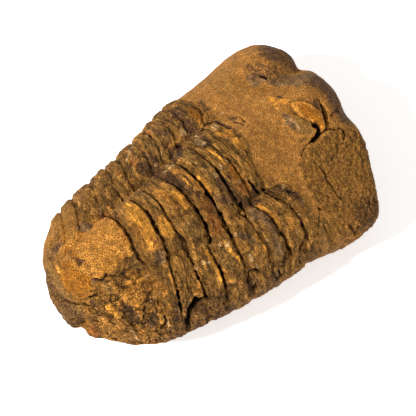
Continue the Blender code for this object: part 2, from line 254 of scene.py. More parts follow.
def plainLump(cube):  # points, outward normals, segment number, how far up and round each point lies
    numbers = rowNumbers()
    edge = np.max(np.abs(cube[:, [0, 2]]), axis=1)
    centre = edge < tiny
    across = np.where(centre, 0.0, cube[:, 0] / np.where(centre, 1, edge))
    up = np.where(centre, 1.0, cube[:, 2] / np.where(centre, 1, edge))
    backPower = np.where(across < 0, lump["leftSquareness"], lump["rightSquareness"])
    power = np.where(up > 0, backPower, lump["bellySquareness"])
    size = (np.abs(across) ** power + np.abs(up) ** power) ** (1 / power)
    dirX, dirZ = across / size, up / size
    number = np.interp(cube[:, 1], np.linspace(-1, 1, len(numbers)), numbers)
    onCap = np.abs(cube[:, 1]) > 1 - tiny
    capShare = np.where(cube[:, 1] < 0, -lump["tailCapStart"], lump["headCapStart"])
    capScale = endScale(capShare) * np.where(onCap, edge, 1.0)
    endPower = bluntness(cube[:, 1])
    capShareY = np.sign(cube[:, 1]) * (1 - capScale**endPower) ** (1 / endPower)
    capY = midY + capShareY * halfLength
    crestY = np.interp(number, lineNumbers, crestEnds)
    y = np.where(onCap, capY, crestY)
    for _ in range(lump["settleRounds"]):
        scale = np.where(onCap, capScale, endScale((y - midY) / halfLength))
        width = np.where(dirX < 0, alongCurve(y, lump["leftWidth"]), alongCurve(y, lump["rightWidth"]))
        x = dirX * width * scale
        y = np.where(onCap, capY, segmentLine(x, crestY, number))
    level = alongCurve(y, lump["widestZ"])
    above = alongCurve(y, lump["backZ"]) - level
    below = level - alongCurve(y, lump["bellyZ"])
    height = np.where(dirZ > 0, above, below)
    z = level + dirZ * height * scale
    share = (y - midY) / halfLength
    normalX = scale ** (endPower - 1) * np.abs(dirX) ** (power - 1) * np.sign(dirX) / width
    normalY = np.abs(share) ** (endPower - 1) * np.sign(share) / halfLength
    normalZ = scale ** (endPower - 1) * np.abs(dirZ) ** (power - 1) * np.sign(dirZ) / height
    normals = np.stack([normalX, normalY, normalZ], axis=1)
    normals /= np.linalg.norm(normals, axis=1)[:, None]
    turn = np.degrees(np.arctan2(across, up))
    return np.stack([x, y, z], axis=1), normals, number, dirZ, turn


def acrossLobe(x, y):  # -1 and 1 at its two furrows
    return (x - alongCurve(y, lobe["x"])) / alongCurve(y, lobe["width"])


def middleLobe(points, dirZ):
    x, y = points[:, 0], points[:, 1]
    across = acrossLobe(x, y)
    rise = alongCurve(y, lobe["rise"]) * endScale((y - midY) / halfLength)
    roundness = lobe["roundness"] + lobe["neckSlope"] * rampUp(*lobe["headFade"], y)
    hump = rise * np.clip(1 - across**2, 0, 1) ** roundness
    fade = rampUp(*lobe["tailFade"], y) * (1 - rampUp(*lobe["headFade"], y))
    depth = np.where(across < 0, lobe["leftFurrow"], lobe["rightFurrow"])
    aside = (np.abs(across) - 1) * alongCurve(y, lobe["width"]) / lobe["furrowWidth"]
    return np.where(dirZ > 0, hump - depth * fade * np.exp(-(aside**2)), 0.0)


def segmentRelief(points, number):
    x, y, z = points.T
    whole = np.floor(number)
    inside = (whole >= 0) & (whole < len(rings["ringRelief"]))
    index = np.clip(whole, 0, len(rings["ringRelief"]) - 1).astype(int)
    across = acrossLobe(x, y)
    toLeft = rampUp(*rings["ringToRib"], -across)
    toRight = rampUp(*rings["ringToRib"], across)
    relief = rings["ringRelief"][index] * (1 - toLeft - toRight)
    relief += rings["leftRelief"][index] * toLeft + rings["rightRelief"][index] * toRight
    foot = np.where(x < 0, rings["leftFootZ"], rings["rightFootZ"])
    downSide = rampUp(0.0, 1.0, (z - foot) / rings["footFade"])
    part = number - whole
    profile = rampUp(0.0, rings["ribRise"], part) * (1 - rampUp(rings["ribDrop"], 1.0, part))
    return np.where(inside, relief * profile * downSide, 0.0)


def swells(points, dirZ):
    height = np.zeros(len(points))
    for (x, y), (reachX, reachY), size in swellMarks.values():
        away = ((points[:, 0] - x) / reachX) ** 2 + ((points[:, 1] - y) / reachY) ** 2
        height += size * np.exp(-away)
    return height * rampUp(*swellFoot, dirZ)


def pressBreaks(points):  # presses what stands beyond each broken face back onto it
    for point, facing, softness in breakMarks.values():
        facing = np.array(facing) / np.linalg.norm(facing)
        beyond = (points - np.array(point)) @ facing
        points = points - np.outer(softness * np.logaddexp(0.0, beyond / softness), facing)
    return points


# Forms cut into or standing out of the back. A point is (x, y), or (x, y, z) on the steep sides.
# Segment lines as they gape in the stone: line, width, depth, how black their painted shade is, path
seenLines = {
    "line 3": (3, 0.26, 0.68, 0.28, (
        (-11.2, -21.4), (-8.5, -20.9), (-4.5, -20.4), (-1.2, -20.9), (1.4, -21.6), (3.2, -22.0),
        (5.1, -21.5))),
    "line 4, middle": (4, 0.26, 1.0, 0.5, (
        (-4.3, -14.2), (-1.7, -14.4), (1.5, -15.1), (3.9, -15.2), (5.7, -15.7), (6.9, -16.2))),
    "line 4, left": (4, 0.2, 0.38, 0.16, ((-10.2, -15.2), (-7.1, -14.4), (-4.3, -14.2))),
    "line 4, right": (4, 0.19, 0.52, 0.24, ((8.2, -16.6), (11.1, -18.0), (13.0, -18.6))),
    "line 4, flank": (4, 0.31, 1.52, 1.0, ((14.0, -19.0), (15.9, -19.9, 22.1), (17.7, -20.7, 20.3))),
    "line 5, left": (5, 0.19, 0.45, 0.16, (
        (-14.1, -12.3), (-11.5, -11.6), (-8.2, -11.3), (-5.4, -11.0), (-2.5, -10.8))),
    "line 5, right": (5, 0.21, 0.5, 0.42, (
        (-2.5, -10.8), (0.4, -11.6), (3.5, -11.9), (5.7, -11.3), (7.2, -11.0), (8.6, -11.6), (9.8, -12.2),
        (11.8, -12.5))),
    "line 5, flank": (5, 0.24, 1.2, 0.63, ((13.0, -12.9), (15.4, -13.6), (17.3, -13.9), (18.7, -14.4, 20.0))),
    "line 6, left": (6, 0.19, 0.6, 0.32, (
        (-7.7, -6.6), (-5.4, -5.6), (-3.0, -5.1), (-0.3, -4.8), (2.2, -4.8))),
    "line 6, right": (6, 0.25, 1.5, 1.0, ((2.2, -4.8), (5.6, -5.0), (9.2, -5.5), (10.2, -6.3))),
    "line 6, rib": (6, 0.17, 0.45, 0.24, ((10.4, -7.3), (13.3, -7.5), (15.6, -7.8, 25.1))),
    "line 6, flank": (6, 0.26, 1.53, 0.85, (
        (15.6, -7.8), (17.9, -8.4, 23.2), (20.2, -9.3, 21.3), (21.5, -10.0), (22.1, -11.4, 18.4))),
    "line 7, crest": (7, 0.22, 0.72, 0.36, ((-7.9, -1.3), (-6.2, -0.9), (-3.1, -0.6), (0.5, -0.8))),
    "line 7, right": (7, 0.24, 1.5, 0.9, (
        (0.5, -0.8), (4.1, -0.6), (5.8, -0.8), (8.1, -0.8), (10.4, -1.1), (12.2, -1.5))),
    "line 7, rib": (7, 0.17, 0.45, 0.28, (
        (12.9, -2.1), (15.0, -2.0), (17.2, -2.2), (19.4, -3.0), (20.3, -3.7))),
    "line 8": (8, 0.24, 0.72, 0.41, (
        (-4.2, 4.1), (-1.9, 4.4), (0.3, 4.4), (2.9, 4.2), (5.4, 4.0), (6.7, 3.8))),
    "line 8, end": (8, 0.33, 1.7, 1.0, ((7.9, 4.5), (9.2, 4.6), (10.6, 3.8))),
    "line 9": (9, 0.19, 0.52, 0.28, ((-4.4, 7.6), (-1.5, 8.2), (0.9, 8.1), (3.8, 7.9), (5.1, 8.1))),
    "line 9, plate": (9, 0.14, 0.38, 0.08, ((9.3, 5.1), (10.4, 7.3), (12.5, 8.3), (14.7, 8.7), (16.7, 8.7))),
    "line 9, flank": (9, 0.2, 0.96, 0.48, ((17.9, 8.7), (19.6, 8.6), (22.0, 8.3), (24.4, 8.6, 19.1))),
    "line 10, flank": (10, 0.2, 0.88, 0.48, (
        (14.1, 14.0), (16.3, 14.1), (18.3, 14.4), (20.7, 14.0), (22.0, 13.7), (22.8, 11.8),
        (23.8, 10.2, 20.7), (25.1, 9.3, 17.9))),
}

# Other cracks and pits: width, depth, how black their painted shade is, path
cracks = {
    "big crack in the right side, top": (0.95, 2.8, 1.0, (
        (18.7, -14.4, 20.0), (19.1, -15.6, 20.7), (18.5, -16.9))),
    "big crack in the right side": (0.9, 2.6, 1.0, ((18.5, -16.9), (18.8, -17.7), (19.4, -19.1))),
    "big crack, foot": (0.68, 2.1, 1.0, (
        (19.4, -19.1), (20.0, -20.2, 16.9), (20.4, -21.1, 14.1), (20.6, -22.0, 10.0))),
    "split below line 5": (0.19, 0.42, 0.34, ((14.6, -15.6), (16.1, -16.2), (17.6, -16.8))),
    "second split below line 5": (0.19, 0.42, 0.34, ((12.0, -14.8), (14.1, -16.2), (16.0, -17.0))),
    "line on rib 8": (0.21, 0.59, 0.68, ((20.3, -2.8), (22.8, -4.4, 19.3))),
    "gap on rib 8": (0.3, 1.19, 0.85, ((20.3, -2.5), (20.9, -1.2), (21.7, -0.3))),
    "crack under rib 8": (0.26, 0.85, 0.77, (
        (20.9, -2.1), (22.6, -2.2, 19.9), (23.6, -2.9, 17.5), (24.0, -5.3, 16.6))),
    "dark edge of rib 9": (0.34, 1.02, 0.85, ((24.5, 2.6, 15.8), (24.9, 4.0, 17.3), (23.9, 3.8, 19.2))),
    "blade of rib 10": (0.26, 0.94, 0.59, ((20.5, 8.8), (21.5, 8.0), (22.5, 6.3), (23.7, 4.8, 20.0))),
    "line under the slab": (0.19, 0.42, 0.26, ((22.0, 13.7), (24.0, 13.5, 19.5), (25.2, 14.2, 16.6))),
    "triangle under the slab": (0.19, 0.42, 0.34, (
        (19.1, 19.8), (21.5, 17.7), (23.9, 15.3, 20.6), (25.8, 15.4, 15.6))),
    "triangle under the slab, front": (0.17, 0.34, 0.26, (
        (20.1, 19.7), (22.8, 19.5), (24.4, 19.3, 20.4), (25.8, 18.4, 16.2))),
    "corner of the triangle": (0.3, 0.51, 0.59, ((18.9, 19.6), (19.6, 20.2))),
    "black bite in the tail shield": (0.36, 1.02, 0.85, (
        (-0.3, -32.2), (0.5, -32.0), (1.0, -31.2), (0.9, -30.5), (0.6, -29.9))),
    "second bite in the tail shield": (0.34, 0.94, 0.85, ((1.3, -35.9, 19.3), (1.9, -34.8), (2.4, -34.3))),
    "edge of the tail shield": (0.26, 0.59, 0.34, (
        (1.0, -30.3), (1.8, -29.1), (2.8, -28.1), (3.2, -26.9), (2.6, -25.6), (1.4, -24.2))),
    "seam under the tail shield": (0.26, 0.59, 0.51, (
        (-3.3, -40.3, 14.3), (-1.7, -39.6), (0.0, -38.7), (1.2, -37.5), (2.8, -36.8), (3.5, -36.1))),
    "black lens in the tail": (0.38, 1.27, 0.85, (
        (1.6, -41.3, 12.7), (2.5, -40.2, 13.5), (3.2, -39.3, 12.9), (4.3, -38.6, 12.5))),
    "pit beside the tail knob": (0.34, 0.68, 0.85, ((6.8, -37.5, 12.0), (7.1, -37.2, 12.0))),
    "crack at the tail corner": (0.3, 1.02, 0.85, (
        (16.1, -24.6), (17.0, -24.7, 18.7), (17.6, -25.5), (17.5, -26.3))),
    "pits of the tail corner": (0.42, 0.77, 0.85, ((17.7, -28.4, 13.0), (17.8, -28.6, 9.9))),
    "pit of the tail corner": (0.34, 0.59, 0.85, ((18.6, -27.4, 11.5), (18.4, -27.9, 12.5))),
    "slit at the tail corner": (0.26, 0.51, 0.77, ((15.0, -31.1, 14.7), (15.7, -30.7, 14.0))),
    "slit 2 at the tail corner": (0.26, 0.51, 0.77, ((16.7, -29.7, 13.7), (17.0, -29.8, 11.2))),
    "black bit in the tail flakes": (0.26, 0.51, 0.85, ((12.4, -27.9), (12.0, -27.0))),
    "black bit by line 4": (0.26, 0.51, 0.77, ((12.7, -23.7), (13.7, -24.2))),
    "dirty patch left of the bite": (0.26, 0.42, 0.42, ((1.4, -33.7), (1.0, -34.6))),
    "pits where ring 9 ends": (0.28, 0.9, 1.0, ((5.2, 9.2), (6.2, 9.3), (7.3, 9.4), (8.5, 9.9))),
    "pits where ring 8 ends": (0.26, 0.9, 1.0, ((7.1, 2.4), (7.5, 3.2), (8.3, 4.2), (9.2, 4.3), (10.5, 3.9))),
    "pit behind the neck": (0.26, 0.8, 0.9, ((8.1, 10.9), (8.4, 11.5))),
    "pits of the shoulder": (0.24, 0.8, 0.9, ((9.4, 13.6), (9.7, 14.5), (10.3, 15.1))),
    "pits of the shoulder, right": (0.22, 0.6, 0.8, ((11.5, 15.1), (12.4, 15.6), (13.3, 16.7))),
    "pits of ring 8": (0.24, 0.7, 0.8, ((-12.9, 0.0), (-13.8, 1.6), (-13.6, 2.9))),
    "arc behind the pebble": (0.2, 0.5, 0.8, (
        (-10.3, 14.8), (-10.1, 16.3), (-9.5, 17.2), (-8.1, 17.6), (-6.7, 17.5))),
    "second arc behind the pebble": (0.18, 0.4, 0.7, (
        (-9.4, 14.3), (-8.5, 15.4), (-7.6, 16.4), (-6.1, 16.5))),
    "hole in the valley": (0.4, 1.3, 1.0, ((-15.3, 28.9), (-14.6, 29.4), (-14.0, 29.7))),
    "rim of the almond": (0.14, 0.26, 0.21, ((-3.9, 29.2), (-3.1, 30.6), (-1.5, 31.8))),
    "foot of the almond": (0.2, 0.5, 0.45, (
        (-3.9, 29.0), (-1.7, 28.2), (0.2, 28.5), (2.2, 29.6), (3.4, 30.5))),
    "crescent": (0.46, 1.5, 1.0, ((0.2, 35.0), (1.4, 34.8), (2.9, 34.2), (4.4, 33.4))),
    "tip of the crescent": (0.17, 0.59, 0.59, ((-1.2, 35.2), (0.2, 35.0), (4.4, 33.4), (5.4, 32.3))),
    "crevice behind the lens": (0.66, 1.9, 1.0, (
        (3.6, 30.6), (4.5, 30.9), (5.3, 30.6), (5.9, 29.6), (6.0, 28.7))),
    "edge of the slab": (0.2, 0.7, 0.8, ((5.9, 27.6), (6.0, 26.1), (6.5, 24.8), (7.2, 23.4))),
    "edge of the slab, lower": (0.26, 0.34, 0.26, ((7.3, 24.9), (7.8, 23.2), (8.5, 21.7))),
    "crease in the slab": (0.19, 0.51, 0.51, (
        (11.5, 25.8), (15.1, 25.5), (18.0, 25.4), (19.8, 25.9), (20.8, 23.9))),
    "crack over the slab": (0.17, 0.55, 0.7, (
        (6.1, 27.3), (6.0, 29.0), (5.7, 30.8), (5.7, 32.0), (5.8, 33.1), (6.5, 34.5), (7.0, 35.7))),
    "crack over the slab, front": (0.22, 0.6, 0.8, ((7.2, 36.1), (8.2, 36.0), (9.1, 35.6), (9.6, 34.6))),
    "crack 2 over the slab": (0.19, 0.42, 0.42, ((9.6, 32.6), (11.1, 31.5))),
    "crack 3 over the slab": (0.17, 0.42, 0.42, ((11.0, 30.3), (12.0, 29.2))),
    "crack of the brow": (0.19, 0.42, 0.42, ((3.7, 35.2), (3.2, 36.5), (3.0, 38.1))),
    "crack at the front of the head": (0.17, 0.42, 0.34, (
        (-1.1, 41.0, 25.8), (1.0, 40.1, 26.0), (2.5, 38.4))),
    "chip in the front edge": (0.42, 0.68, 0.51, ((25.9, 24.3), (27.4, 24.6, 16.1), (27.0, 26.0, 17.3))),
    "arch round the pebble": (0.24, 0.51, 0.51, (
        (-12.2, 8.5), (-13.6, 11.1), (-12.7, 12.5), (-10.8, 13.2), (-7.8, 13.5))),
}

# Soft grooves: width, depth, path
grooves = {
    "valley round the left cheek": (2.3, 1.5, (
        (-15.0, 42.0, 16.0), (-12.7, 38.5, 25.0), (-11.0, 33.5), (-12.5, 28.0), (-16.5, 25.5))),
    "seam under the tail shield": (1.1, 0.9, (
        (-15.0, -38.5, 9.0), (-9.0, -41.0, 11.5), (-3.4, -40.7, 14.5), (1.4, -37.0, 18.5))),
    "gully beside the tail knob": (1.4, 2.4, ((3.7, -40.2, 13.0), (4.0, -41.5, 9.0), (4.0, -41.8, 2.0))),
}

# Plates and flakes that stand proud, or lie low where the height is negative: height, edge, outline
plates = {
    "tail shield": (0.45, 0.5, (
        (-12.1, -24.0), (-9.1, -21.3), (-4.0, -20.9), (0.8, -22.0), (1.9, -22.8), (1.1, -24.3), (1.5, -27.3),
        (0.7, -30.7), (-0.5, -32.2), (-0.7, -33.9), (0.6, -34.3), (1.2, -35.8), (-0.2, -37.5), (-4.3, -38.7),
        (-6.8, -37.7), (-9.7, -35.7), (-12.5, -32.0), (-13.5, -28.0))),
    "almond": (0.75, 0.35, (
        (-3.8, 29.0), (-3.4, 30.3), (-1.5, 32.1), (0.0, 32.7), (1.6, 33.3), (3.8, 33.2), (5.1, 32.1),
        (5.4, 30.9), (3.9, 30.8), (2.2, 29.7), (0.2, 28.6), (-1.7, 28.3))),
    "lens": (0.45, 0.5, (
        (-2.0, 24.3), (-0.3, 24.4), (1.9, 24.2), (3.9, 24.7), (4.4, 26.4), (5.8, 28.2), (6.1, 29.8),
        (4.6, 30.6), (2.7, 30.0), (0.5, 29.0), (-1.5, 27.2))),
    "box on the left edge": (0.5, 0.4, (
        (-20.3, 10.1), (-19.3, 11.5), (-16.1, 11.7), (-14.3, 11.5), (-14.6, 9.7), (-17.6, 9.3))),
    "pebble": (0.5, 0.6, ((-11.7, 10.4), (-11.7, 12.3), (-9.6, 12.8), (-8.6, 10.8), (-10.3, 9.7))),
    "tan block": (0.55, 0.3, (
        (14.7, -14.6), (15.0, -13.1), (17.6, -13.3), (18.5, -14.5), (17.9, -16.4), (16.3, -16.3))),
    "grey plate of rib 9": (0.3, 0.3, (
        (9.6, 4.9), (10.2, 6.5), (11.4, 8.0), (13.1, 8.4), (15.1, 8.7), (17.4, 8.4), (18.3, 6.8), (16.6, 6.6),
        (14.9, 6.4), (13.0, 5.6), (11.4, 4.7))),
    "round grey end of rib 10": (0.5, 0.5, (
        (16.3, 5.6), (17.2, 7.6), (20.0, 8.4), (22.0, 7.4), (23.4, 5.0), (21.9, 4.0), (19.3, 4.5))),
    "flake on line 4": (0.3, 0.3, (
        (4.5, -18.6), (5.2, -17.1), (6.6, -16.2), (7.4, -17.4), (7.0, -18.9), (6.1, -19.6))),
    "shell of ring 6": (0.35, 0.3, (
        (-8.7, -3.6), (-6.0, -1.7), (-4.0, -1.2), (-1.8, -1.0), (1.5, -1.3), (2.1, -1.9), (-0.5, -2.4),
        (-4.4, -3.2))),
    "pale flake": (0.35, 0.3, ((5.7, -29.6), (6.5, -28.1), (8.3, -27.7), (9.1, -28.6), (7.7, -30.2))),
    "orange flake": (0.3, 0.3, ((10.0, -28.1), (10.7, -27.2), (12.0, -27.3), (12.2, -28.4), (11.3, -28.9))),
    "orange oval": (0.3, 0.3, ((6.4, -25.1), (7.1, -24.4), (8.5, -25.2), (8.0, -26.1))),
    "orange blob": (0.35, 0.4, ((5.3, -33.7), (6.2, -32.5), (7.4, -32.0), (8.0, -33.1), (6.9, -34.4))),
    "tan flake": (0.3, 0.3, (
        (5.4, -29.6), (6.0, -27.7), (8.1, -26.9), (10.2, -25.9), (11.8, -27.7), (11.6, -29.1), (9.7, -29.4),
        (6.9, -30.5))),
    "hollow in the tail flakes": (-0.6, 0.35, (
        (8.7, -31.7), (9.1, -30.1), (10.4, -29.3), (12.5, -29.3), (13.9, -30.1), (13.5, -31.4),
        (11.2, -31.9))),
    "second hollow": (-0.5, 0.35, (
        (12.7, -26.4), (13.8, -25.7), (15.1, -26.8), (15.2, -27.8), (14.1, -27.8))),
    "hollow under the shield": (-0.45, 0.35, (
        (1.1, -32.4), (1.7, -30.6), (3.9, -30.3), (4.3, -32.4), (2.4, -33.3))),
    "chip in the shield": (-0.4, 0.3, (
        (-11.5, -24.7), (-13.9, -26.3), (-13.8, -27.6), (-12.2, -28.2), (-10.9, -26.8), (-10.4, -25.6))),
    "chip 2 in the shield": (-0.3, 0.3, ((-7.5, -32.8), (-5.1, -31.4), (-4.9, -33.4))),
    "missing piece of line 7": (-0.45, 0.35, (
        (-14.3, 0.2), (-14.4, 2.1), (-13.5, 3.5), (-10.7, 2.0), (-9.7, 0.0), (-9.4, -1.4), (-11.5, -1.7))),
    "broken end of ring 8": (-0.4, 0.35, (
        (-0.3, 2.8), (0.3, 4.3), (2.9, 4.2), (5.7, 4.1), (6.9, 4.3), (5.7, 2.8), (3.3, 2.0))),
}

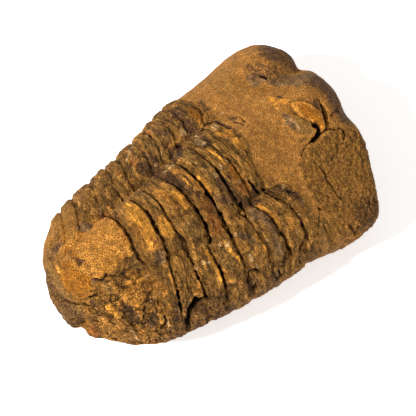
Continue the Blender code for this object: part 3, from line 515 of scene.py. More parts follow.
# Colours that lie in patches: layer, how much of the patch it covers, soft edge, outline
stains = {
    "sandy cover of the head": ("sand", 1.0, 0.8, (
        (-30.0, 9.5), (-25.4, 10.7), (-21.8, 12.6), (-19.2, 13.5), (-15.7, 14.4), (-11.5, 14.5), (-8.1, 13.7),
        (-6.2, 15.0), (-3.3, 14.6), (0.4, 13.6), (3.5, 12.8), (5.6, 12.6), (7.5, 13.6), (9.6, 16.2),
        (12.7, 18.0), (16.0, 18.3), (19.6, 18.0), (23.0, 20.5), (32.0, 20.5), (32.0, 48.0), (-32.0, 48.0))),
    "slab": ("slab", 1.0, 0.6, (
        (6.7, 35.0), (6.0, 33.0), (5.8, 30.6), (6.4, 28.9), (6.3, 27.1), (7.1, 24.9), (7.8, 23.2),
        (9.0, 21.0), (13.0, 20.0), (18.0, 19.5), (23.0, 20.5), (32.0, 20.5), (32.0, 48.0), (14.0, 48.0))),
    "ribs": ("ribbed", 1.0, 1.5, (
        (-32.0, -27.0), (-13.0, -25.5), (-9.0, -21.3), (-2.0, -20.8), (3.0, -22.0), (8.0, -22.0),
        (14.0, -24.0), (24.0, -24.0), (30.0, 12.0), (22.0, 17.0), (16.0, 17.5), (9.6, 16.5), (5.0, 13.5),
        (0.0, 14.0), (-6.0, 14.5), (-15.0, 12.5), (-21.0, 12.0), (-32.0, 9.5))),
    "flaky right of the tail": ("flaky", 1.0, 1.2, (
        (1.5, -24.0), (6.0, -21.5), (12.0, -23.5), (19.0, -23.5), (22.0, -30.0), (18.0, -40.0), (6.0, -40.0),
        (1.5, -36.0), (1.2, -31.0))),
    "tail shield": ("rust", 1.0, 0.35, (
        (-12.1, -24.0), (-11.7, -22.5), (-9.1, -21.3), (-6.8, -20.9), (-4.0, -20.9), (-1.2, -21.3),
        (0.8, -22.0), (1.9, -22.8), (1.1, -24.3), (1.3, -25.9), (1.5, -27.3), (1.2, -29.2), (0.7, -30.7),
        (-0.5, -32.2), (-0.7, -33.9), (0.6, -34.3), (1.2, -35.8), (-0.2, -37.5), (-2.0, -38.5), (-4.3, -38.7),
        (-6.8, -37.7), (-9.7, -35.7), (-9.8, -34.4), (-7.1, -33.8), (-5.2, -33.4), (-5.2, -32.2),
        (-7.2, -32.2), (-9.9, -32.4), (-11.5, -31.8), (-11.4, -30.0), (-12.2, -28.2), (-10.9, -27.4),
        (-8.9, -26.9), (-10.8, -25.3))),
    "rust left of the shield": ("rust", 0.55, 1.5, (
        (-13.0, -35.0), (-9.5, -36.5), (-9.5, -32.0), (-12.0, -30.0), (-17.0, -28.5), (-18.0, -31.0))),
    "bright rust on ring 4": ("amber", 1.0, 0.4, (
        (-8.8, -17.7), (-8.3, -16.1), (-7.0, -15.0), (-4.7, -14.7), (-2.4, -14.9), (0.0, -15.5), (2.2, -16.1),
        (4.0, -16.6), (4.5, -18.6), (3.2, -19.3), (1.0, -18.7), (-1.0, -18.3), (-3.1, -18.2), (-5.3, -18.0))),
    "tan of ring 4": ("rust", 0.62, 1.0, (
        (-8.9, -18.2), (-4.2, -17.6), (0.8, -18.0), (3.6, -18.9), (4.2, -20.4), (1.6, -21.0), (-0.7, -20.6),
        (-5.0, -19.9))),
    "bright rust on ring 5": ("amber", 1.0, 0.3, (
        (-0.8, -13.2), (-0.3, -12.0), (1.3, -11.7), (2.8, -11.8), (4.3, -11.9), (5.0, -12.9), (4.4, -14.2),
        (3.0, -14.6), (1.2, -14.3))),
    "tan of ring 5": ("rust", 0.5, 1.0, (
        (2.6, -14.8), (5.3, -13.1), (7.6, -12.5), (7.2, -14.6), (5.4, -15.5))),
    "rust on ring 6": ("rust", 0.66, 1.0, (
        (-7.9, -10.8), (-6.8, -8.7), (-4.6, -7.3), (-2.1, -6.8), (0.3, -7.2), (2.2, -8.2), (0.8, -9.4),
        (-1.6, -9.9), (-4.1, -10.4), (-6.4, -10.9))),
    "bright rust on ring 6": ("amber", 1.0, 0.6, (
        (-4.0, -7.4), (-3.0, -6.0), (-0.5, -5.6), (1.9, -5.8), (2.2, -7.0), (0.5, -7.4), (-1.4, -7.4))),
    "rust on ring 9": ("rust", 0.85, 0.8, (
        (-1.6, 7.3), (0.0, 8.0), (1.7, 8.1), (3.8, 8.0), (6.0, 8.2), (8.2, 8.9), (8.9, 8.0), (7.5, 6.7),
        (5.9, 5.4), (4.0, 5.5), (1.5, 6.2))),
    "bright rust on ring 9": ("amber", 1.0, 0.4, (
        (3.4, 6.4), (5.2, 7.4), (7.1, 8.0), (8.4, 8.1), (7.4, 6.5), (5.3, 5.8))),
    "deep orange of ring 9": ("ochre", 0.8, 0.6, (
        (-1.0, 7.6), (2.1, 8.4), (5.7, 8.5), (8.0, 8.3), (7.3, 6.7), (4.7, 6.0), (1.4, 6.2))),
    "box": ("ochre", 0.95, 0.4, (
        (-20.0, 9.9), (-19.1, 11.2), (-17.2, 11.5), (-14.7, 11.5), (-14.8, 9.9), (-17.8, 9.4))),
    "pebble": ("pale", 0.55, 0.4, ((-11.6, 10.5), (-11.7, 12.3), (-9.7, 12.6), (-8.9, 11.0), (-10.1, 9.9))),
    "almond": ("rust", 1.0, 0.3, plates["almond"][2]),
    "orange of the almond": ("ochre", 0.66, 0.9, (
        (-3.4, 29.3), (-2.0, 31.4), (1.0, 32.5), (4.4, 32.8), (5.3, 31.0), (3.9, 30.8), (2.2, 29.7),
        (0.2, 28.6))),
    # painted shadow: the dark strip above the almond, beside the crescent
    "painted shadow over the almond": ("dark", 0.72, 0.5, (
        (-1.6, 33.7), (-1.5, 35.0), (0.4, 34.7), (2.5, 33.9), (2.2, 33.0), (0.3, 32.8))),
    "yellow left of the almond": ("amber", 0.62, 0.9, (
        (-9.9, 26.4), (-9.2, 27.4), (-7.0, 27.4), (-5.1, 26.8), (-5.7, 25.1), (-7.8, 25.3))),
    "orange left of the almond": ("amber", 0.85, 0.4, (
        (-6.6, 27.6), (-6.1, 28.8), (-4.8, 29.6), (-4.2, 28.5), (-5.2, 27.5))),
    "dark spot of the head": ("dark", 1.0, 0.4, (
        (-8.0, 27.6), (-7.5, 28.4), (-6.0, 29.0), (-6.1, 28.2), (-7.1, 27.5))),
    "rust left of the almond": ("rust", 0.7, 0.9, (
        (-10.0, 26.8), (-8.0, 27.8), (-6.4, 28.9), (-4.5, 29.7), (-3.6, 27.6), (-2.2, 26.4), (-3.8, 25.3),
        (-6.2, 24.9), (-8.6, 24.8))),
    "brown brow": ("dark", 0.66, 1.6, (
        (-7.6, 34.7), (-5.2, 34.4), (-3.0, 36.2), (0.0, 37.0), (4.0, 36.0), (8.5, 37.0), (6.0, 44.0),
        (-8.0, 44.0))),
    "brown top of the cheek": ("dark", 0.7, 2.0, (
        (-24.0, 34.0), (-19.0, 31.0), (-15.0, 33.0), (-12.5, 38.0), (-14.0, 44.0), (-22.0, 43.0))),
    "rough knob of the cheek": ("dark", 0.75, 0.6, (
        (-19.3, 36.3), (-19.0, 38.2), (-17.6, 39.2), (-15.0, 38.3), (-15.3, 36.2), (-17.0, 35.6))),
    "striated side of the tail": ("olive", 0.85, 0.8, (
        (-13.5, -37.0), (-10.0, -37.6), (-6.5, -38.4), (-3.3, -38.9), (-0.3, -38.2), (1.6, -37.5),
        (3.2, -39.0), (3.5, -45.0), (-14.0, -45.0))),
    "dark side of the tail": ("dark", 0.58, 1.0, (
        (-13.5, -38.0), (-6.5, -39.3), (-3.3, -39.4), (0.0, -38.6), (3.2, -38.6), (3.5, -45.0),
        (-14.0, -45.0))),
    "band left of the tail": ("dark", 0.72, 0.6, (
        (-12.5, -37.4), (-15.6, -36.4), (-14.8, -34.6), (-13.8, -32.6), (-12.5, -32.3), (-12.4, -35.0))),
    "wedge in the shield": ("ochre", 0.9, 0.4, (
        (-11.9, -32.8), (-10.9, -31.7), (-7.6, -31.9), (-5.1, -31.9), (-5.2, -33.4), (-7.9, -33.3),
        (-10.0, -33.6))),
    "dark of the wedge": ("dark", 0.5, 0.6, (
        (-11.9, -32.8), (-10.9, -31.7), (-5.1, -31.9), (-5.2, -33.4), (-10.0, -33.6))),
    # painted shade: the right end of the slab, which faces away from the lamp, darkened
    "painted shade at the end of the slab": ("dark", 0.58, 2.0, (
        (21.0, 27.0), (21.5, 34.0), (24.0, 36.0), (29.0, 32.0), (29.0, 25.5), (25.0, 25.0))),
    "tan of the tail flakes": ("rust", 0.56, 1.5, (
        (1.6, -25.4), (6.2, -20.5), (13.0, -19.0), (14.8, -22.0), (10.7, -27.6), (5.1, -29.0))),
    # painted shade: the foot of the right side, turned away from the lamp, darkened
    "painted shade at the foot of the right side": ("dark", 0.52, 1.5, (
        (16.3, -24.5), (15.6, -19.0), (17.6, -13.0), (20.0, -8.0), (26.0, -8.0), (25.0, -22.0),
        (20.0, -30.0))),
    "tan shoulder": ("rust", 0.5, 1.5, (
        (13.1, 12.8), (16.8, 18.4), (20.3, 17.8), (18.8, 14.0), (16.5, 11.3))),
    "tan of rib 8": ("rust", 0.5, 1.2, ((8.2, -2.0), (10.6, 2.0), (14.4, -0.3), (12.2, -3.4))),
    "dark upper valley": ("dark", 0.56, 1.5, (
        (-22.3, 27.0), (-18.2, 31.6), (-13.4, 35.4), (-10.4, 32.2), (-15.5, 25.9))),
    "dull top of the head": ("olive", 0.48, 3.0, (
        (-30.0, 20.0), (-24.0, 30.0), (-14.0, 25.0), (-9.0, 17.5), (-16.0, 15.5), (-26.0, 16.0))),
    "tan of the neck": ("rust", 0.62, 1.0, (
        (-1.0, 12.0), (3.8, 13.4), (6.6, 13.6), (5.1, 11.2), (1.5, 10.6))),
    "deep orange of the shield": ("ochre", 1.0, 1.6, (
        (1.0, -36.0), (-0.2, -37.4), (-4.3, -38.6), (-6.8, -37.7), (-9.7, -35.9), (-8.0, -34.2),
        (-4.5, -34.0), (-0.5, -32.8))),
    "orange of the shield": ("ochre", 0.5, 1.5, (
        (-0.5, -33.0), (-4.0, -33.5), (-2.7, -31.7), (-1.1, -24.9), (1.1, -24.3), (1.3, -25.9),
        (1.2, -29.2))),
    "front of the left cheek": ("rust", 0.42, 2.5, (
        (-20.0, 30.0), (-16.5, 31.0), (-14.0, 36.0), (-16.0, 41.0), (-21.0, 38.0))),
    "rim of the grey plate": ("amber", 0.85, 0.4, (
        (9.4, 6.0), (10.0, 7.9), (11.3, 8.9), (13.0, 9.4), (15.0, 9.7), (17.7, 9.7), (17.4, 8.9), (14.7, 8.8),
        (12.5, 8.4), (10.4, 7.3), (9.6, 5.4))),
    "yellow band of rib 9": ("amber", 0.75, 0.6, (
        (13.4, 3.0), (15.1, 3.9), (16.9, 3.9), (18.4, 3.9), (20.0, 4.3), (19.8, 3.3), (17.0, 2.7),
        (15.1, 3.0))),
    "tan block": ("rust", 0.6, 0.4, (
        (14.9, -14.4), (15.2, -13.2), (17.4, -13.4), (18.0, -14.5), (17.6, -16.2), (16.3, -16.0))),
    "tan flake": ("rust", 0.8, 0.4, (
        (5.4, -29.6), (6.0, -27.7), (8.1, -26.9), (10.2, -25.9), (11.8, -27.7), (11.6, -29.1), (9.7, -29.4),
        (8.0, -29.9), (6.9, -30.5))),
    "rust in the tail flakes": ("rust", 0.8, 0.6, (
        (2.9, -25.4), (4.6, -23.9), (6.4, -23.5), (8.4, -24.1), (8.2, -26.3), (5.8, -27.1))),
    "orange blob": ("amber", 0.85, 0.4, (
        (5.1, -33.6), (6.5, -32.3), (8.4, -32.0), (8.9, -33.0), (7.2, -34.2))),
    "orange fan": ("rust", 0.6, 0.6, (
        (6.9, -34.6), (7.9, -32.6), (9.6, -32.4), (11.4, -32.4), (10.5, -33.6), (8.5, -34.4))),
    "orange strip": ("rust", 0.6, 0.6, (
        (4.6, -37.0), (6.8, -35.2), (9.2, -34.9), (9.4, -36.0), (7.0, -36.6))),
    "orange flake": ("rust", 0.8, 0.4, plates["orange flake"][2]),
    "orange oval": ("rust", 0.8, 0.3, ((6.6, -25.1), (7.1, -24.6), (8.3, -25.2), (8.0, -25.9))),
    "red on the left ribs": ("ember", 0.8, 0.7, (
        (-20.1, -8.2), (-18.8, -7.4), (-16.4, -7.3), (-15.4, -8.3), (-17.2, -9.1))),
    "red 2 on the left ribs": ("ember", 0.55, 0.7, (
        (-19.9, -12.6), (-18.6, -11.4), (-16.3, -11.3), (-16.1, -12.7), (-18.0, -13.4))),
    "red 3 on the left ribs": ("ember", 0.6, 0.6, (
        (-17.0, -22.2), (-15.9, -20.8), (-14.0, -21.2), (-14.9, -22.7))),
    "reddish block": ("ember", 0.62, 1.0, (
        (1.1, -3.6), (2.6, -1.8), (4.4, -1.4), (7.4, -1.4), (10.6, -1.6), (11.5, -2.8), (10.1, -4.7),
        (8.2, -5.4), (6.4, -4.7), (3.6, -4.4))),
    "red beside the tail notch": ("ember", 0.85, 0.6, (
        (4.9, -38.6), (6.1, -37.9), (8.1, -37.2), (8.4, -39.5), (5.0, -40.5))),
    "grey rib on the left": ("olive", 0.75, 0.8, (
        (-22.8, -2.0), (-21.6, -0.2), (-18.2, -0.2), (-15.2, -0.7), (-13.1, -1.1), (-13.5, -2.6),
        (-15.8, -3.2), (-19.0, -3.3))),
    "grey rib 2 on the left": ("olive", 0.75, 0.8, (
        (-27.5, 4.7), (-27.0, 6.2), (-23.0, 5.8), (-21.9, 3.9), (-23.6, 2.6))),
    "olive of ring 8": ("olive", 0.8, 0.8, (
        (-12.8, 1.1), (-10.1, 2.1), (-7.3, 3.0), (-4.3, 3.6), (-1.6, 3.8), (1.3, 3.4), (4.2, 2.8), (4.7, 1.3),
        (2.2, 0.8), (-0.7, 0.8), (-4.2, 0.6), (-7.6, 0.2), (-9.9, -0.7))),
    "olive above line 7": ("olive", 0.6, 0.6, (
        (-7.0, -0.2), (-3.9, 0.4), (-0.5, 0.6), (2.3, 0.5), (4.8, 0.3), (4.4, -0.7), (1.6, -0.8),
        (-1.6, -0.7), (-4.7, -0.7))),
    "olive over line 8": ("olive", 0.6, 0.7, (
        (-11.0, 4.0), (-7.5, 4.6), (-4.9, 5.1), (-1.8, 5.2), (1.0, 5.2), (1.0, 4.4), (-2.0, 4.4), (-5.0, 4.0),
        (-9.0, 3.0))),
    "green block of ring 6": ("olive", 1.0, 0.6, (
        (3.0, -8.6), (4.0, -7.3), (6.3, -6.9), (8.6, -6.5), (10.0, -7.0), (8.6, -9.2), (6.4, -10.0),
        (4.3, -9.6))),
    "olive of ring 5": ("olive", 0.7, 0.7, (
        (-12.2, -12.9), (-11.1, -11.3), (-7.6, -11.1), (-4.3, -10.9), (-1.8, -11.0), (-2.3, -11.9),
        (-4.9, -12.5), (-8.2, -13.6), (-10.3, -14.2))),
    "olive of rib 7": ("olive", 0.85, 0.8, (
        (11.8, -6.6), (12.6, -4.2), (15.2, -3.0), (17.4, -3.5), (18.8, -5.4), (17.6, -7.2), (14.6, -7.0))),
    "olive end of rib 10": ("olive", 0.9, 0.7, (
        (16.1, 7.3), (17.6, 8.5), (19.9, 8.3), (21.5, 7.4), (23.4, 5.0), (22.3, 4.0), (19.3, 4.9),
        (17.1, 5.9))),
    "tan of rib 11": ("rust", 0.6, 0.9, (
        (15.6, 11.6), (17.2, 13.4), (19.4, 13.4), (21.7, 11.2), (18.8, 9.9))),
    "olive triangle": ("olive", 0.55, 1.0, (
        (19.5, 18.6), (20.8, 20.1), (23.5, 19.9), (26.4, 18.6), (26.6, 15.6), (24.2, 15.1), (21.9, 16.1))),
    "olive under line 3": ("olive", 0.8, 0.5, (
        (2.1, -24.4), (2.9, -22.7), (4.4, -22.0), (5.2, -23.1), (3.8, -24.8))),
    "olive at the neck": ("olive", 0.6, 0.5, (
        (-14.4, 6.5), (-10.8, 6.9), (-8.1, 6.6), (-8.5, 5.1), (-11.2, 4.5))),
    "olive behind the bite": ("olive", 0.8, 0.8, (
        (0.9, -31.7), (2.4, -29.9), (5.0, -30.2), (4.6, -32.0), (2.4, -33.0))),
    "grey plate of rib 9": ("grey", 1.0, 0.3, (
        (9.6, 4.9), (10.2, 6.5), (11.4, 8.0), (13.1, 8.4), (15.1, 8.7), (17.4, 8.4), (18.5, 7.0), (16.6, 6.6),
        (14.9, 6.4), (13.0, 5.6), (11.4, 4.7))),
    "grey plate of rib 8": ("grey", 0.9, 0.6, (
        (11.8, 0.0), (12.7, 1.4), (14.3, 2.2), (16.2, 2.7), (16.7, 1.7), (15.2, 0.6), (13.8, -0.4))),
    "grey of rib 10": ("grey", 0.6, 0.6, (
        (17.0, 5.7), (17.5, 7.2), (19.6, 7.7), (21.5, 6.8), (21.9, 5.0), (19.7, 4.6))),
    "grey flake on line 4": ("grey", 0.85, 0.5, (
        (4.5, -18.6), (5.2, -17.1), (6.6, -16.2), (7.6, -17.4), (7.0, -18.9), (6.1, -19.6))),
    "grey past line 4": ("grey", 0.5, 0.7, (
        (7.6, -17.5), (9.1, -16.9), (10.8, -16.8), (11.3, -18.1), (9.6, -18.8))),
    "lens": ("grey", 0.85, 0.5, (
        (-3.2, 25.2), (-2.5, 26.5), (-0.7, 26.5), (2.1, 26.1), (1.8, 24.8), (-0.3, 24.4))),
    "brown of the lens": ("olive", 0.8, 0.6, (
        (-1.3, 27.0), (-0.1, 28.5), (1.9, 29.4), (3.6, 29.9), (5.1, 28.7), (4.5, 26.7), (3.1, 26.0),
        (1.1, 26.4))),
    "grey valley": ("grey", 0.8, 1.0, (
        (-18.5, 26.0), (-17.7, 27.5), (-15.4, 29.3), (-13.3, 30.7), (-12.2, 33.9), (-10.2, 36.9),
        (-8.4, 41.0), (-3.0, 43.0), (-4.0, 40.7), (-5.4, 36.6), (-6.4, 33.1), (-9.3, 31.1), (-11.5, 29.3),
        (-13.7, 28.0), (-13.1, 26.0), (-15.3, 25.6))),
    "grey low on rib 9": ("grey", 0.8, 0.5, (
        (22.5, 1.8), (23.4, 3.6), (25.2, 4.0), (25.4, 2.8), (24.1, 1.2))),
    "grey between lines 3 and 4": ("grey", 0.7, 0.5, (
        (15.1, -20.9), (16.3, -19.9), (17.9, -20.9), (17.2, -22.4))),
    "grey of rib 8, foot": ("grey", 0.6, 0.6, ((17.9, -4.9), (19.2, -3.7), (20.5, -4.5), (20.3, -5.7))),
    "grey shoulder": ("grey", 0.7, 0.5, ((14.3, 16.4), (15.6, 17.7), (17.2, 17.0), (16.0, 15.6))),
    "chip in the shield": ("grey", 1.0, 0.3, (
        (-11.5, -24.7), (-12.4, -26.0), (-13.9, -26.3), (-13.8, -27.6), (-12.9, -28.8), (-12.2, -28.2),
        (-10.9, -26.8), (-10.4, -25.6))),
    "chip 2 in the shield": ("dark", 0.95, 0.3, plates["chip 2 in the shield"][2]),
    "spots in the shield": ("grey", 0.95, 0.3, (
        (-7.6, -27.2), (-7.5, -26.2), (-6.7, -26.0), (-6.8, -27.0), (-5.0, -28.0), (-3.6, -27.6),
        (-3.4, -27.0), (-4.8, -27.0))),
    "grey at the bite": ("grey", 0.9, 0.3, (
        (-0.9, -32.8), (-0.3, -31.9), (0.5, -32.0), (0.6, -33.0), (-0.2, -33.4))),
    "pale grey in the tail flakes": ("grey", 0.6, 0.7, (
        (4.6, -27.8), (7.0, -26.2), (10.7, -25.2), (10.9, -26.0), (8.0, -27.0), (5.4, -28.4))),
    "dark on the left edge": ("dark", 0.85, 0.7, (
        (-24.2, 7.7), (-22.6, 9.4), (-19.9, 9.6), (-18.1, 8.8), (-18.4, 6.8), (-21.2, 6.3))),
    "dark band of line 10": ("dark", 0.85, 0.6, (
        (-19.7, 7.0), (-17.7, 8.7), (-15.0, 9.1), (-10.9, 8.5), (-7.4, 8.0), (-7.0, 5.9), (-9.8, 5.6),
        (-14.8, 6.3), (-17.7, 6.0))),
    "missing piece of line 7": ("dark", 1.0, 0.5, plates["missing piece of line 7"][2]),
    "speckled dark of rib 6": ("dark", 0.7, 1.0, (
        (-17.0, -7.8), (-15.4, -5.3), (-12.4, -4.0), (-9.1, -4.0), (-5.2, -3.4), (-2.6, -3.6), (-3.7, -5.7),
        (-7.0, -6.7), (-10.9, -8.3), (-14.3, -9.3))),
    "dark of ring 6": ("dark", 0.8, 0.5, (
        (-6.4, -4.5), (-4.1, -3.3), (-0.6, -2.5), (1.6, -1.7), (2.7, -2.5), (0.1, -4.1), (-2.7, -5.3))),
    "dark right of line 8": ("dark", 0.85, 0.8, (
        (2.9, 0.3), (4.9, 2.3), (6.4, 4.8), (8.3, 6.9), (9.4, 9.5), (10.8, 9.1), (9.7, 5.9), (7.7, 3.5),
        (6.5, 0.9), (4.8, -0.5))),
    "dark end of ring 8": ("dark", 1.0, 0.5, (
        (-0.3, 2.8), (0.3, 4.6), (2.9, 4.9), (5.7, 5.0), (7.1, 5.1), (5.7, 3.0), (3.3, 2.1))),
    "dark bits by ring 10": ("dark", 0.3, 0.6, (
        (5.6, 10.5), (6.5, 11.8), (8.1, 11.7), (9.3, 10.2), (7.4, 9.6))),
    "dark of the valley": ("dark", 0.42, 1.2, (
        (-18.0, 26.5), (-13.3, 30.5), (-12.2, 33.9), (-9.5, 37.5), (-5.4, 36.6), (-9.3, 31.3),
        (-13.7, 28.0))),
    "dark shoulder": ("dark", 0.75, 0.6, (
        (11.2, 14.4), (12.1, 16.4), (13.8, 17.5), (15.6, 17.3), (14.7, 15.4), (13.0, 14.4))),
    "dark of rib 7 on the left": ("dark", 0.75, 0.6, (
        (-19.1, -4.7), (-17.2, -3.4), (-14.4, -3.1), (-12.2, -3.5), (-14.3, -5.0), (-16.4, -5.8))),
    "dark end of ring 5": ("dark", 0.7, 0.6, (
        (5.9, -11.6), (7.4, -11.0), (8.8, -11.6), (7.9, -12.9), (6.5, -13.0))),
    "dark of rib 8 on the left": ("dark", 0.7, 0.7, (
        (-23.1, 0.3), (-21.2, 2.1), (-18.6, 3.7), (-15.9, 3.5), (-15.8, 1.6), (-19.1, 0.4))),
    "hollow in the tail flakes": ("dark", 0.8, 0.5, (
        (8.4, -31.5), (9.1, -29.5), (11.3, -28.9), (13.7, -29.6), (13.9, -31.0), (11.5, -31.7),
        (9.7, -31.9))),
    "second hollow": ("dark", 0.72, 0.5, (
        (13.6, -28.6), (13.5, -27.0), (14.4, -25.9), (16.1, -26.1), (16.5, -27.9), (15.4, -29.2))),
    "dark under the second bite": ("dark", 0.7, 0.5, (
        (1.3, -36.2), (2.2, -34.6), (4.1, -35.2), (3.4, -37.0))),
    "dark foot of rib 8": ("dark", 0.6, 0.8, (
        (20.5, -2.6), (21.9, -1.2), (24.5, -1.0), (24.5, -3.6), (24.0, -6.0), (21.7, -4.8))),
    "crumbs where the rings end": ("dark", 0.62, 0.8, (
        (5.1, 9.4), (7.5, 10.8), (9.0, 13.0), (10.1, 15.5), (13.0, 16.6), (13.2, 14.9), (10.6, 12.2),
        (9.3, 8.5), (8.6, 4.8), (6.9, 4.0), (7.2, 7.0))),
    "dark bits at the neck": ("dark", 0.6, 0.7, (
        (-20.7, 13.1), (-20.1, 15.1), (-17.9, 14.6), (-14.4, 14.5), (-16.0, 12.7), (-18.9, 12.5))),
    "dark bits 2 at the neck": ("dark", 0.6, 0.6, (
        (-12.3, 15.6), (-10.4, 17.0), (-8.5, 16.6), (-7.3, 15.6), (-9.1, 14.8))),
    "pale chip of line 8": ("pale", 1.0, 0.3, ((-16.9, 5.3), (-15.8, 6.7), (-14.2, 5.8), (-14.9, 4.5))),
    "pale at the neck": ("pale", 0.75, 0.5, ((-14.3, 6.2), (-11.5, 7.3), (-7.4, 6.7), (-8.9, 4.8))),
}

# Colours that lie in thin lines: layer, strength, half width, path
streaks = {
    "neck line": ("amber", 1.0, 0.5, (
        (-8.9, 10.1), (-7.3, 11.3), (-6.1, 12.2), (-4.2, 12.3), (-2.8, 12.5), (-1.6, 12.8))),
    "neck line 2": ("amber", 0.9, 0.42, ((-8.2, 12.2), (-6.7, 12.9), (-5.7, 12.9))),
    "rust line of ring 9": ("amber", 1.0, 0.35, (
        (-6.6, 6.0), (-5.2, 6.4), (-3.6, 6.6), (-2.2, 6.7), (-0.7, 6.7))),
    "shell of ring 6": ("rust", 1.0, 0.5, (
        (-7.3, -3.3), (-6.0, -2.2), (-4.0, -1.7), (-1.8, -1.5), (0.3, -1.7), (1.3, -1.9))),
    "line of ring 6": ("amber", 0.8, 0.25, ((-4.1, -3.2), (-1.6, -2.8), (0.5, -2.5))),
    "edge over line 7": ("amber", 0.9, 0.5, ((-2.4, 0.0), (-0.4, 0.2), (1.1, 0.2), (2.3, 0.1))),
    "yellow over line 6": ("amber", 0.9, 0.45, (
        (11.3, -8.6), (13.2, -8.5), (15.4, -8.8), (17.1, -8.9), (18.5, -9.2))),
    "yellow of rib 7": ("amber", 0.85, 0.4, ((14.5, -3.8), (15.8, -3.4), (17.3, -3.1))),
    "streak of rib 4": ("rust", 0.7, 0.45, ((10.4, -18.5), (12.0, -18.7), (13.4, -18.8), (14.8, -18.6))),
    "streak past line 6": ("amber", 0.6, 0.4, ((16.8, -7.4), (18.5, -7.4), (19.8, -7.5))),
    "yellow at the tail edge": ("amber", 1.0, 0.5, ((-9.9, -36.9, 17.4), (-8.7, -37.2), (-7.3, -37.2))),
    "red at the shield edge": ("ember", 0.8, 0.5, ((-12.0, -22.2), (-10.7, -21.1), (-8.6, -20.8))),
    "red on the left edge": ("ember", 0.8, 0.4, ((-22.9, 0.1, 21.7), (-21.3, 0.2))),
    "red in ring 4": ("ember", 0.8, 0.3, ((1.9, -17.3), (3.1, -16.9), (3.6, -18.2))),
    "red in ring 6": ("ember", 0.9, 0.3, ((-2.7, -5.5), (-0.4, -5.7), (1.7, -5.9))),
    "red beside line 7": ("ember", 0.8, 0.45, ((2.9, -2.1), (4.1, -1.4), (5.3, -2.4))),
    "red in ring 9": ("ember", 0.9, 0.5, ((4.4, 6.0), (5.9, 6.5), (7.1, 7.3), (8.0, 8.2))),
    "red in the shield": ("ember", 0.6, 0.5, ((-3.5, -22.2), (-1.9, -21.9))),
    "ridge of ring 8": ("dark", 0.8, 0.25, ((-11.6, 1.9, 30.2), (-8.8, 2.4), (-7.1, 3.3))),
    "left edge of line 9": ("dark", 0.7, 0.35, ((-22.0, 4.9), (-18.0, 5.3), (-15.0, 5.4), (-12.0, 5.0))),
    "crumbs behind rib 8": ("dark", 0.75, 0.4, (
        (-12.2, 8.5), (-13.6, 11.1), (-12.7, 12.7), (-10.8, 13.4), (-7.8, 13.7))),
    "pale vein": ("pale", 0.8, 0.35, ((-19.3, -8.8), (-21.0, -7.0), (-22.4, -5.4))),
    "pale sliver": ("pale", 0.9, 0.4, ((-9.1, -5.0, 30.5), (-9.1, -4.0), (-9.2, -3.0))),
    "pale sliver of the shield": ("pale", 0.7, 0.35, ((-14.6, -20.4), (-12.6, -21.4), (-11.6, -21.9))),
    "crack of the lens": ("pale", 0.9, 0.35, ((-0.6, 26.2), (1.0, 26.6), (2.2, 26.4))),
    "pale ridge of the tail corner": ("pale", 0.7, 0.4, ((16.7, -24.5, 19.0), (18.7, -25.2, 15.7))),
    "pale sliver of the tail corner": ("pale", 0.7, 0.4, (
        (13.0, -32.5, 16.0), (14.5, -32.0, 14.0), (16.0, -32.0, 10.0))),
    "edge of the tail flakes": ("rust", 0.9, 0.45, (
        (15.3, -30.7, 14.8), (15.0, -28.8), (13.9, -27.1), (12.7, -25.8))),
    "edge of the hollow": ("rust", 0.9, 0.45, (
        (7.0, -31.5), (9.5, -31.1), (12.3, -30.9), (14.7, -30.8, 15.8))),
    "sliver below line 4": ("pale", 0.6, 0.28, ((11.8, -25.6), (11.7, -23.8), (11.9, -22.4))),
    "sliver beside line 3": ("rust", 0.8, 0.4, ((15.0, -22.2), (17.0, -23.2), (18.4, -24.6, 16.9))),
    "sliver of the orange flakes": ("amber", 0.9, 0.35, ((6.3, -24.9), (6.9, -23.5), (8.2, -22.5))),
}

# Pale specks: reach and places
specks = {
    "bright": (0.55, ((-10.3, -3.4), (-8.8, -2.4), (-0.2, 3.3), (5.4, -0.7), (10.5, 15.2), (10.8, 15.0))),
    "faint": (0.5, (
        (-15.4, 5.6), (-0.9, 5.3), (-1.0, 7.5), (4.3, 6.9), (-13.1, 15.3), (11.7, 5.0), (17.8, -0.6),
        (18.6, -0.4), (19.1, -0.7), (20.6, -0.3), (17.6, 2.8), (12.3, -0.5), (13.2, -3.6), (17.3, 4.9),
        (17.6, 8.6), (13.0, -10.5), (13.7, -9.6), (12.7, -12.4), (12.0, -5.0), (7.1, -22.8), (17.5, 14.7),
        (20.2, 11.9), (-12.8, -4.6), (-14.8, -1.8))),
}

# Colours on the sides that the photo doesn't show: layer, cover, size, seed
unseenStains = (
    ("dark", 0.46, 11.0, 3.0),
    ("rust", 0.5, 9.0, 17.0),
    ("olive", 0.6, 12.0, 31.0),
    ("grey", 0.42, 7.0, 47.0),
)

# How stains, streaks and specks fade at their edges, and where the photo's camera stops seeing them
paint = {
    "stainReach": 3.0,
    "streakReach": 2.5,
    "streakFade": (1.25, 0.65),  # full strength in its middle, and how fast it fades
    "speckFade": 1.5,
    "seenFrom": (-0.15, 0.2),  # from turned away from that camera to facing it
    "patchEdge": 0.3,  # edge of the patches on the sides that it doesn't see
}

# How seen lines, cracks and pits look. Uneven values are a mean, how much they change, least and most
crackLook = {
    "jag": 0.5,  # how far they wander beside the edges of plates
    "bumpSize": 1.3,
    "widthChange": 0.5,
    "depth": (1, 0.8, 0.4, 1.4),
    # painted shade in the cracks: how dark it is, and its width as a share of the crack
    "crackShadeStrength": (0.95, 0.9, 0.3, 1),
    "crackShadeWidth": 0.95,
}

